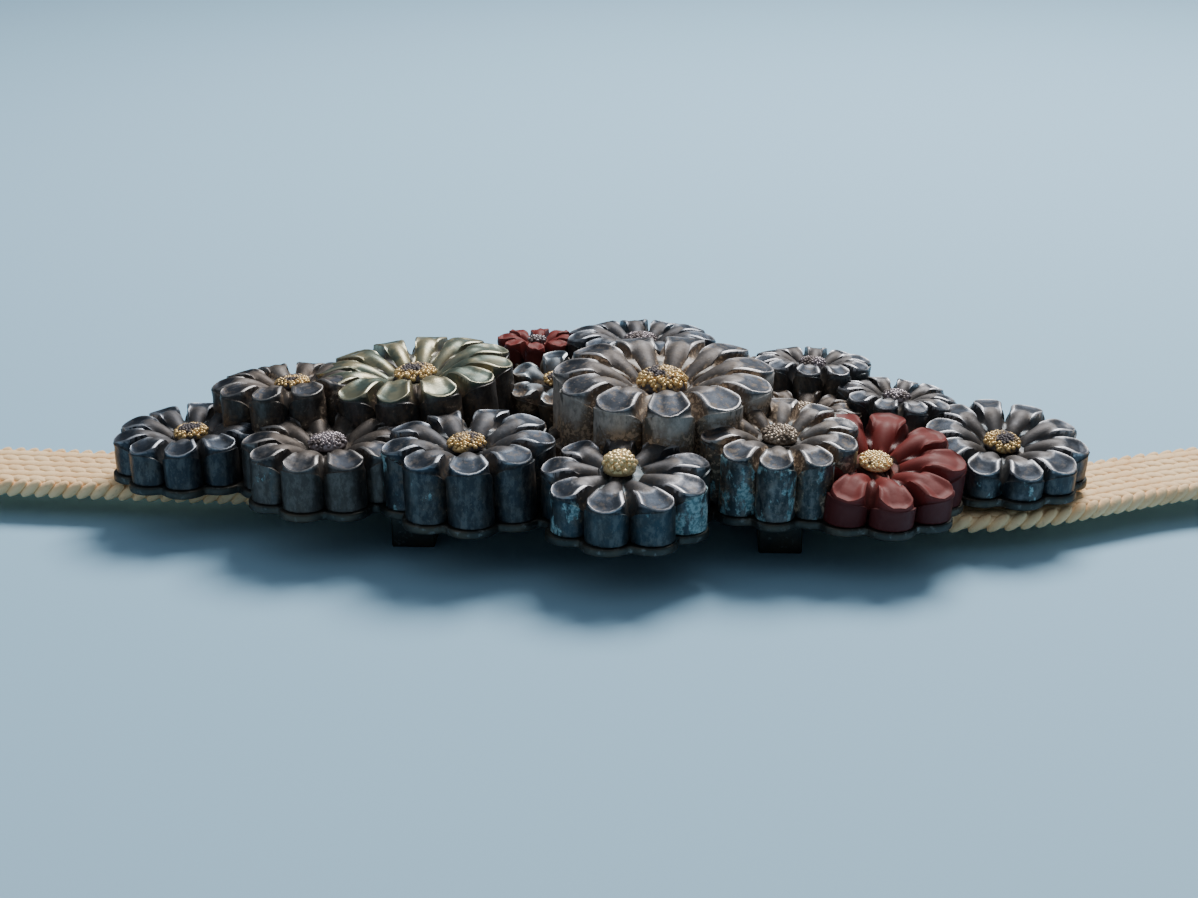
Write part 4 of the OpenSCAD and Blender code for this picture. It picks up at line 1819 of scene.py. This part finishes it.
@dataclass(frozen=True)
class OxidisedSilver:
    """Cast silver, oxidised blue-black, rubbed bare on the rims, with brown dirt and blue-green salts.

    Attributes:
        clouds, cloud: brownish clouds of tarnish.
        streaks_and_highlights, streak_and_highlight: pale upright streaks on the walls, partly tarnish and
        partly painted highlight.
        pale_spots, pale: pale grey mottling of the walls.
        black_spots, black: black mottling of the walls.
        inner: brown of the petals' inner parts.
        hollow: painted shade that darkens the dished faces.
        stains, stain, stain_share: brown stains, and their share on petals and on walls.
        rubbing_left: how much rubbing reaches flat faces, hollows and walls.
        deep, film, glint: black of the crevices, partly dirt and partly painted shade; their brown dirt; and
            pale flecks, partly residue and partly painted glint.
        specks, speck, speck_share: small dry specks of dirt, and how much they cover.
        salt_patches: patches of salts.
        salt_lift, salt_from: how much the petal's own amount helps them, and from where it counts.
        salt_grain, salt_colours: break-up of the salts and their two colours.
        dull_film, dull_mottle, dull_stain: how dull those make the metal.
        metal, metal_loss: metallic share on petals and on walls, and how much of it the dull parts lose.
        rough, smears, smear_rough, hollow_rough, inner_dull, dull_rough: roughness and what adds to it.
        dents, dent, pores, pore: broad and fine unevenness, with their heights in millimetres and strengths.
    """

    clouds: Pattern = Pattern(0.8, 4.0, 0.6, 0.4, 0.72)
    cloud: Tint = Tint((0.060, 0.050, 0.043), 0.75, 0.6)
    streaks_and_highlights: Pattern = Pattern(1.3, 3.0, 0.6, 0.52, 0.7, (1.0, 1.0, 0.16))
    streak_and_highlight: Tint = Tint((0.10, 0.12, 0.13), 0.4)
    pale_spots: Pattern = Pattern(2.4, 6.0, 0.74, 0.45, 0.6, (1.0, 1.0, 0.5))
    pale: Tint = Tint((0.58, 0.54, 0.50), 0.75)
    black_spots: Pattern = Pattern(0.55, 5.0, 0.66, 0.53, 0.6, (1.0, 1.0, 0.4))
    black: Tint = Tint((0.045, 0.050, 0.043), 0.85)
    inner: Tint = Tint((0.15, 0.115, 0.085), 0.55, 0.5)
    hollow: Tint = Tint((0.017, 0.024, 0.036), 0.9, 0.9)
    stains: Pattern = Pattern(1.7, 6.0, 0.72, 0.52, 0.62)
    stain: Tint = Tint((0.17, 0.135, 0.105))
    stain_share: Pair = (0.6, 0.25)
    rubbing_left: Triple = (1.0, 0.3, 0.1)
    deep: Tint = Tint((0.020, 0.018, 0.017))
    film: Tint = Tint((0.17, 0.118, 0.078), 0.85)
    glint: Tint = Tint((0.52, 0.40, 0.29))
    specks: Pattern = Pattern(5.5, 3.0, 0.65, 0.63, 0.7)
    speck: Tint = Tint((0.30, 0.25, 0.20))
    speck_share: float = 0.5
    salt_patches: Pattern = Pattern(0.95, 6.0, 0.68, 0.67, 0.73, (1.0, 1.0, 0.5))
    salt_lift: float = 0.2
    salt_from: Pair = (0.02, 0.2)
    salt_grain: Pattern = Pattern(5.0, low=0.4, high=0.6)
    salt_colours: tuple[Triple, Triple] = ((0.09, 0.19, 0.22), (0.30, 0.45, 0.47))
    dull_film: float = 0.75
    dull_mottle: float = 0.8
    dull_stain: float = 0.6
    metal: Pair = (1.0, 0.8)
    metal_loss: float = 0.75
    rough: Pair = (0.34, 0.27)
    smears: Pattern = Pattern(1.6, 5.0, 0.65)
    smear_rough: float = 0.26
    hollow_rough: float = 0.1
    inner_dull: float = 0.5
    dull_rough: float = 0.35
    dents: Pattern = Pattern(1.1, 2.0, 0.5)
    dent: Pair = (0.08, 0.35)
    pores: Pattern = Pattern(6.0, 4.0, 0.7)
    pore: Pair = (0.025, 0.55)

    def material(self, name: str, wear: NodeTree, grime_and_shade: NodeTree) -> Material:
        """Builds the material.

        Args:
            name: its name.
            wear: the worn metal effect.
            grime_and_shade: the crevice effect, grime and painted shade.

        Returns:
            The material.
        """
        f = Finish(name)
        s = PaintedSurface(f, wear, grime_and_shade)
        base = f.tint(s.base, f.patches(self.clouds), self.cloud)
        # pale upright streaks on the walls: partly tarnish, partly painted highlight
        base = f.tint(base, f.times(f.patches(self.streaks_and_highlights), s.on_wall), self.streak_and_highlight)
        mottle = f.times(s.mottle, s.on_wall)
        base = f.tint(base, f.times(mottle, f.patches(self.pale_spots)), self.pale)
        base = f.tint(base, f.times(mottle, f.patches(self.black_spots)), self.black)
        inner = f.times(s.lift, -1.0, True)
        base = f.tint(base, inner, self.inner)
        # painted shade darkening the dished faces
        base = f.tint(base, s.dished, self.hollow)
        stain = f.times(f.patches(self.stains), f.times(s.soil, f.blend(s.on_wall, *self.stain_share)))
        base = f.tint(base, stain, self.stain)
        flat, dished, wall = self.rubbing_left
        amount = f.times(s.rubbing, f.blend(s.on_wall, f.blend(s.dished, flat, dished), wall))
        colour = f.mix(s.bare(amount), base, s.bare_colour)
        dirt = s.dirt()
        # crevice black, partly dirt and partly painted shade, then a brown film of dirt
        colour = f.tint(f.tint(colour, dirt["Dark"], self.deep), dirt["Film"], self.film)
        speck = f.times(f.patches(self.specks), f.times(s.soil, self.speck_share))
        # pale flecks in the film: partly residue, partly painted glint
        colour = f.tint(f.tint(colour, speck, self.speck), dirt["Glint"], self.glint)
        patch = f.plus(f.noise(self.salt_patches), f.times(s.lift, self.salt_lift))
        salts = f.steps(patch, self.salt_patches.low, self.salt_patches.high)
        salts = f.times(f.times(salts, s.on_wall), f.steps(s.lift, *self.salt_from))
        colour = f.mix(salts, colour, f.mix(f.patches(self.salt_grain), *self.salt_colours))
        dull = f.most(
            salts, f.times(dirt["Film"], self.dull_film), speck, f.times(mottle, self.dull_mottle),
            dirt["Dark"], f.times(stain, self.dull_stain),
        )
        rough = f.plus(f.blend(s.on_wall, *self.rough), f.times(f.noise(self.smears), self.smear_rough))
        rough = f.plus(rough, f.times(s.dished, self.hollow_rough))
        worst = f.most(dull, f.times(inner, self.inner_dull))
        f.set(
            Base_Color=colour,
            Metallic=f.minus(f.blend(s.on_wall, *self.metal), f.times(dull, self.metal_loss)),
            Roughness=f.plus(rough, f.times(worst, self.dull_rough), True),
            Normal=f.bump(self.pores, *self.pore, f.bump(self.dents, *self.dent)),
        )
        return f.material


@dataclass(frozen=True)
class Lacquer:
    """What the red and the green lacquer have in common: thin colour over the silver, worn off at the rims.

    Attributes:
        rubbing_left: how much rubbing reaches flat faces and hollows.
        bare_share: how much of the bare metal shows.
        deep, film, glint: black of the crevices, partly dirt and partly painted shade; their brown dirt; and
            pale flecks, partly residue and partly painted glint.
        pores, pore: fine unevenness, with its height in millimetres and its strength.
        metal, bare_metal: metallic share of a lacquer that lets metal through, and what bare metal adds.
        rough, rough_clouds, rough_by: roughness, its clouds and how much they add.
    """

    rubbing_left: Pair = (1.0, 0.4)
    bare_share: float = 1.0
    deep: Tint = Tint((0.014, 0.011, 0.008))
    film: Tint = Tint((0.15, 0.105, 0.072), 0.8)
    glint: Tint = Tint((0.52, 0.40, 0.27))
    pores: Pattern = Pattern(5.0, 4.0, 0.7)
    pore: Pair = (0.02, 0.4)
    metal: float = 0.0
    bare_metal: float = 0.0
    rough: float = 0.42
    rough_clouds: Pattern = Pattern(1.5)
    rough_by: float = 0.25

    def coloured(self, s: PaintedSurface) -> NodeSocket:
        """The lacquer's own colour, before wear and dirt."""
        return s.base

    def material(self, name: str, wear: NodeTree, grime_and_shade: NodeTree) -> Material:
        """Builds the material.

        Args:
            name: its name.
            wear: the worn metal effect.
            grime_and_shade: the crevice effect, grime and painted shade.

        Returns:
            The material.
        """
        f = Finish(name)
        s = PaintedSurface(f, wear, grime_and_shade)
        base = self.coloured(s)
        bare = f.times(s.bare(f.times(s.rubbing, f.blend(s.dished, *self.rubbing_left))), self.bare_share)
        dirt = s.dirt()
        # crevice black: partly dirt, partly painted shade
        colour = f.tint(f.mix(bare, base, s.bare_colour), dirt["Dark"], self.deep)
        f.set(
            # brown film of dirt, and pale flecks: partly residue, partly painted glint
            Base_Color=f.tint(f.tint(colour, dirt["Film"], self.film), dirt["Glint"], self.glint),
            Roughness=f.plus(self.rough, f.times(f.noise(self.rough_clouds), self.rough_by)),
            Normal=f.bump(self.pores, *self.pore),
        )
        if self.metal:
            f.set(Metallic=f.plus(self.metal, f.times(bare, self.bare_metal), True))
        return f.material


@dataclass(frozen=True)
class RedLacquer(Lacquer):
    """Brick red lacquer, opaque and half matt.

    Attributes:
        clouds, cloud: paler clouds.
        specular: strength of its reflections.
        coat, coat_rough: gloss on the petals and on the walls, and its roughness.
    """

    bare_share: float = 0.5
    # crevice black, partly dirt and partly painted shade; brown dirt; pale flecks, partly residue and partly
    # painted glint
    deep: Tint = Tint((0.012, 0.004, 0.004))
    film: Tint = Tint((0.15, 0.105, 0.072), 0.2)
    glint: Tint = Tint((0.52, 0.40, 0.27), 0.3)
    clouds: Pattern = Pattern(0.5, 4.0, 0.6, 0.35, 0.7)
    cloud: Tint = Tint((0.16, 0.045, 0.04), 0.5, 0.4)
    specular: float = 0.16
    coat: Pair = (0.0, 0.12)
    coat_rough: float = 0.25

    def coloured(self, s: PaintedSurface) -> NodeSocket:
        """Sets a half matt gloss, a little glossier on the walls, and finds the red with its clouds.

        Args:
            s: what the casting's attributes say.

        Returns:
            The colour before wear and dirt.
        """
        coat = s.f.blend(s.on_wall, *self.coat)
        s.f.set(Specular_IOR_Level=self.specular, Coat_Roughness=self.coat_rough, Coat_Weight=coat)
        return s.f.tint(s.base, s.f.patches(self.clouds), self.cloud)


@dataclass(frozen=True)
class GreenLacquer(Lacquer):
    """Thin pale green that lets the metal through.

    Attributes:
        straw_clouds, straw: straw-coloured clouds on the petals.
        sea_clouds, sea, sea_share: blue-green clouds on the petals, and how strong they are.
        hollow: painted shade that darkens the dished faces.
    """

    straw_clouds: Pattern = Pattern(0.42, 4.0, 0.6, 0.47, 0.60)
    straw: Triple = (0.30, 0.26, 0.15)
    sea_clouds: Pattern = Pattern(0.9, low=0.5, high=0.7)
    sea: Triple = (0.10, 0.16, 0.14)
    sea_share: float = 0.6
    hollow: Tint = Tint((0.050, 0.075, 0.062), 0.6)
    metal: float = 0.6
    bare_metal: float = 0.4
    rough: float = 0.26
    rough_by: float = 0.26

    def coloured(self, s: PaintedSurface) -> NodeSocket:
        """Finds the green with its clouds, which lie on the petals alone.

        Args:
            s: what the casting's attributes say.

        Returns:
            The colour before wear and dirt.
        """
        f = s.f
        base = f.mix(f.patches(self.straw_clouds), s.base, f.mix(s.on_wall, self.straw, s.base))
        sea = f.times(f.patches(self.sea_clouds), self.sea_share)
        # painted shade darkening the dished faces
        return f.tint(f.mix(sea, base, f.mix(s.on_wall, self.sea, base)), s.dished, self.hollow)


@dataclass(frozen=True)
class GoldGrains:
    """Granulated gold with dirt between and on the grains.

    Attributes:
        gold: colour of the clean grains.
        dirt: colour of the dirty ones.
        dirty_share: how much of the stamen is dirty.
        band: how much cleaner the lowest ring is than the top.
        band_from: where that ring starts and is full, share of the way out.
        patchy: patches of dirt.
        start, full: noise values where dirt starts and is full, and how they fall with the dirty share.
        metal, rough: metallic share and roughness of clean grains, and how dirt changes them.
        pores, pore: fine unevenness, with its height in millimetres and its strength.
    """

    gold: Triple
    dirt: Triple
    dirty_share: float
    band: float = 0.0
    band_from: Pair = (0.5, 0.9)
    patchy: Pattern = Pattern(1.1, 4.0, 0.65)
    start: Pair = (0.66, 0.4)
    full: Pair = (0.78, 0.35)
    metal: Pair = (0.42, 0.15)
    rough: Pair = (0.25, 0.35)
    pores: Pattern = Pattern(7.0, 3.0, 0.6)
    pore: Pair = (0.015, 0.5)

    def material(self, name: str) -> Material:
        """Builds the material.

        Args:
            name: its name.

        Returns:
            The material.
        """
        f = Finish(name)
        lowest = f.times(f.steps(f.attribute("way_out").outputs["Fac"], *self.band_from), self.band)
        low, high = (value - fall * self.dirty_share for value, fall in (self.start, self.full))
        dirty = f.steps(f.minus(f.noise(self.patchy), lowest), low, high)
        f.set(
            Base_Color=f.mix(dirty, self.gold, self.dirt),
            Metallic=f.minus(self.metal[0], f.times(dirty, self.metal[1])),
            Roughness=f.plus(self.rough[0], f.times(dirty, self.rough[1])),
            Normal=f.bump(self.pores, *self.pore),
        )
        return f.material


@dataclass(frozen=True)
class Clouded:
    """A finish of two clouded colours with specks over them.

    Attributes:
        clouds, colours: clouds, and the colours between and in them.
        specks, speck: the specks and their colour.
        rough, rough_clouds, rough_by: roughness, its clouds and how much they add.
        pores, pore: fine unevenness, with its height in millimetres and its strength.
        gloss: other values of the shader, by the input's name with underscores for blanks.
    """

    clouds: Pattern
    colours: tuple[Triple, Triple]
    specks: Pattern
    speck: Tint
    rough: float
    rough_clouds: Pattern
    rough_by: float
    pores: Pattern
    pore: Pair
    gloss: dict[str, float]

    def material(self, name: str) -> Material:
        """Builds the material.

        Args:
            name: its name.

        Returns:
            The material.
        """
        f = Finish(name)
        colour = f.mix(f.patches(self.clouds), *self.colours)
        f.set(
            Base_Color=f.tint(colour, f.patches(self.specks), self.speck),
            Roughness=f.plus(self.rough, f.times(f.noise(self.rough_clouds), self.rough_by)),
            Normal=f.bump(self.pores, *self.pore),
            **self.gloss,
        )
        return f.material


# dull tarnished sheet silver, grey-green with brown clouds and pale scuffs
SHEET_SILVER = Clouded(
    clouds=Pattern(0.5, 5.0, 0.65, 0.38, 0.66), colours=((0.045, 0.050, 0.048), (0.085, 0.074, 0.058)),
    specks=Pattern(2.5, 4.0, 0.6, 0.56, 0.7), speck=Tint((0.20, 0.21, 0.21), 0.6),
    rough=0.34, rough_clouds=Pattern(3.0), rough_by=0.25,
    pores=Pattern(6.0, 4.0, 0.7), pore=(0.02, 0.5), gloss={"Metallic": 0.85},
)
# cream silk with a soft sheen, browner where hands and time have soiled it
CREAM_SILK = Clouded(
    clouds=Pattern(0.35, 4.0, 0.6, 0.35, 0.7), colours=((1.0, 0.72, 0.42), (0.95, 0.63, 0.34)),
    specks=Pattern(3.5, 4.0, 0.7, 0.56, 0.68), speck=Tint((0.50, 0.33, 0.19), 0.35),
    rough=0.5, rough_clouds=Pattern(2.0), rough_by=0.25, pores=Pattern(9.0, 3.0, 0.6), pore=(0.03, 0.7),
    gloss={"Specular_IOR_Level": 0.15, "Sheen_Weight": 0.04, "Sheen_Roughness": 0.4},
)


# face numbers of the casting's materials: silver, red lacquer, green lacquer
FINISH_OF: dict[Patina, int] = {p: {Patina.RED: 1, Patina.GREEN: 2}.get(p, 0) for p in Patina}
WALL_OF: dict[Patina, int] = {p: 1 if p is Patina.RED else 0 for p in Patina}
GOLD_STAMENS: tuple[str, ...] = ("front", "red")
BANDED_STAMENS: tuple[str, ...] = (
    "right_end", "left_end", "left_back", "centre", "green", "front_left", "small",
)
WEATHERED_STAMENS: tuple[str, ...] = (
    "front_right", "middle_left", "middle_front", "middle_right", "middle_end",
)
DUSKY_STAMENS: tuple[str, ...] = ("left_front", "back_red", "back", "back_right", "behind_red", "back_low")


@dataclass
class Studio:
    """Floor, light and camera.

    Attributes:
        target: what the camera looks at, in millimetres.
        distance: how far it stands away, in millimetres.
        azimuth: how far it stands to the right of straight ahead, in degrees.
        elevation: its height over the horizon, in degrees.
        focal_px: focal length in pixels of the photograph.
        photo_width: width of the photograph in pixels.
        sensor: width of the camera's sensor, in millimetres.
        clip: nearest and farthest thing that it sees, in metres.
        floor: half width of the floor in metres, its colour and its roughness.
        key, fill: lamps, each with its place and width in millimetres, its power in watts and its colour.
        low_sky, high_sky: colours of the world's soft light under and over its bright part.
        sky_edge: heights where that part starts and is full, as shares of the way up.
        sky: strength of that light.
    """

    target: Triple = (0.0, -3.0, 5.0)
    distance: float = 125.0
    azimuth: float = 2.5
    elevation: float = 20.0
    focal_px: float = 2050.0
    photo_width: float = 1198.0
    sensor: float = 36.0
    clip: Pair = (0.005, 20.0)
    floor: tuple[float, Triple, float] = (3.0, (0.30, 0.51, 0.68), 0.8)
    key: tuple[Triple, float, float, Triple] = ((70, 170, 260), 170, 1.75, (1.0, 0.985, 0.96))
    fill: tuple[Triple, float, float, Triple] = ((-240, -120, 160), 160, 0.05, (0.88, 0.94, 1.0))
    low_sky: Triple = (0.16, 0.18, 0.20)
    high_sky: Triple = (0.56, 0.66, 0.76)
    sky_edge: Pair = (0.2, 0.9)
    sky: float = 0.5

    def camera(self) -> Object:
        """Places the camera at the photograph's angle.

        Returns:
            The camera.
        """
        az, el = math.radians(self.azimuth), math.radians(self.elevation)
        back = Vector((math.sin(az) * math.cos(el), -math.cos(az) * math.cos(el), math.sin(el)))
        data = bpy.data.cameras.new("camera")
        data.sensor_width = self.sensor
        data.lens = self.focal_px / self.photo_width * data.sensor_width
        data.clip_start, data.clip_end = self.clip
        cam = link(bpy.data.objects.new("camera", data))
        cam.location = (Vector(self.target) + back * self.distance) * MM
        cam.rotation_euler = back.to_track_quat("Z", "Y").to_euler()
        bpy.context.scene.camera = cam
        return cam

    def light(self, name: str, place: tuple, size: float, power: float, tint: tuple) -> None:
        """Adds a soft area light that faces the brooch.

        Args:
            name: its name.
            place: its place in millimetres.
            size: its width in millimetres.
            power: its power in watts.
            tint: its colour.
        """
        data = bpy.data.lights.new(name, "AREA")
        data.shape, data.size, data.energy, data.color = "DISK", size * MM, power, tint
        lamp = link(bpy.data.objects.new(name, data))
        lamp.location = Vector(place) * MM
        lamp.rotation_euler = (Vector(place) - Vector((0, 0, 5))).to_track_quat("Z", "Y").to_euler()

    def build(self) -> None:
        """Adds the floor, the lights and the world's soft light."""
        mesh = bpy.data.meshes.new("floor")
        far, colour, roughness = self.floor
        mesh.from_pydata([(-far, -far, 0), (far, -far, 0), (far, far, 0), (-far, far, 0)], [], [(0, 1, 2, 3)])
        floor = link(bpy.data.objects.new("floor", mesh))
        finish = Finish("pale_floor")
        finish.set(Base_Color=colour, Roughness=roughness)
        mesh.materials.append(finish.material)
        self.light("key", *self.key)
        self.light("fill", *self.fill)
        world = bpy.data.worlds.new("soft_room")
        world.use_nodes = True
        g = Nodes(world.node_tree)
        place = g.add("ShaderNodeTexCoord").outputs["Generated"]
        height = g.add("ShaderNodeSeparateXYZ", {"Vector": place}).outputs["Z"]
        ramp = {"Value": height, "From Min": self.sky_edge[0], "From Max": self.sky_edge[1]}
        share = g.add("ShaderNodeMapRange", ramp, interpolation_type="SMOOTHSTEP").outputs["Result"]
        mixed = {"Factor": share, "A": self.low_sky, "B": self.high_sky}
        shade = g.add("ShaderNodeMix", mixed, data_type="RGBA").outputs["Result"]
        background = world.node_tree.nodes["Background"].inputs
        g.wire(shade, background["Color"])
        g.wire(self.sky, background["Strength"])
        bpy.context.scene.world = world


def main() -> None:
    """Builds the pieces in order and reports each of them."""
    logging.basicConfig(level=logging.INFO, format="%(name)s: %(message)s")
    studio = Studio()
    studio.camera()
    cord = SashCord()
    braid = cord.piece("braided_cord", CREAM_SILK.material("silk_cord"))
    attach(braid, BODY)
    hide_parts("sash_cord")
    report(braid)
    shared = (Effects().worn_metal(), Effects().crevice_grime_and_shade())
    casting = Casting().joined("flower_casting", [
        OxidisedSilver().material("oxidised_silver", *shared), RedLacquer().material("red_lacquer", *shared),
        GreenLacquer().material("green_lacquer", *shared),
    ])
    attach(casting, BODY)
    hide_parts("flower_cluster")
    report(casting)
    sorts = [
        ("gold", GOLD_STAMENS, GoldGrains((1.0, 0.74, 0.37), (0.32, 0.20, 0.10), 0.16), 7),
        ("banded", BANDED_STAMENS, GoldGrains((0.80, 0.55, 0.24), (0.075, 0.062, 0.068), 0.72, 0.2), 8),
        ("weathered", WEATHERED_STAMENS, GoldGrains((0.44, 0.35, 0.27), (0.13, 0.095, 0.07), 0.5), 9),
        ("dusky", DUSKY_STAMENS, GoldGrains((0.34, 0.29, 0.31), (0.11, 0.085, 0.08), 0.55), 10),
    ]
    for sort, names, grains, seed in sorts:
        blooms = [b for b in BLOOMS if b.name in names]
        stamens = Granulation().piece(f"{sort}_stamens", blooms, grains.material(f"{sort}_grains"), seed)
        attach(stamens, BODY)
        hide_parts(*(f"stamen_{b.name}" for b in blooms))
        report(stamens)
    plate = BackPlate().piece("scalloped_plate", SHEET_SILVER.material("plate_silver"))
    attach(plate, BODY)
    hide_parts("back_plate")
    report(plate)
    studio.build()


def report(piece: Object) -> None:
    """Logs a finished piece's number of triangles."""
    triangles = sum(len(f.vertices) - 2 for f in piece.data.polygons)
    log.info("%s: %d triangles", piece.name, triangles)


if __name__ == "__main__":
    main()
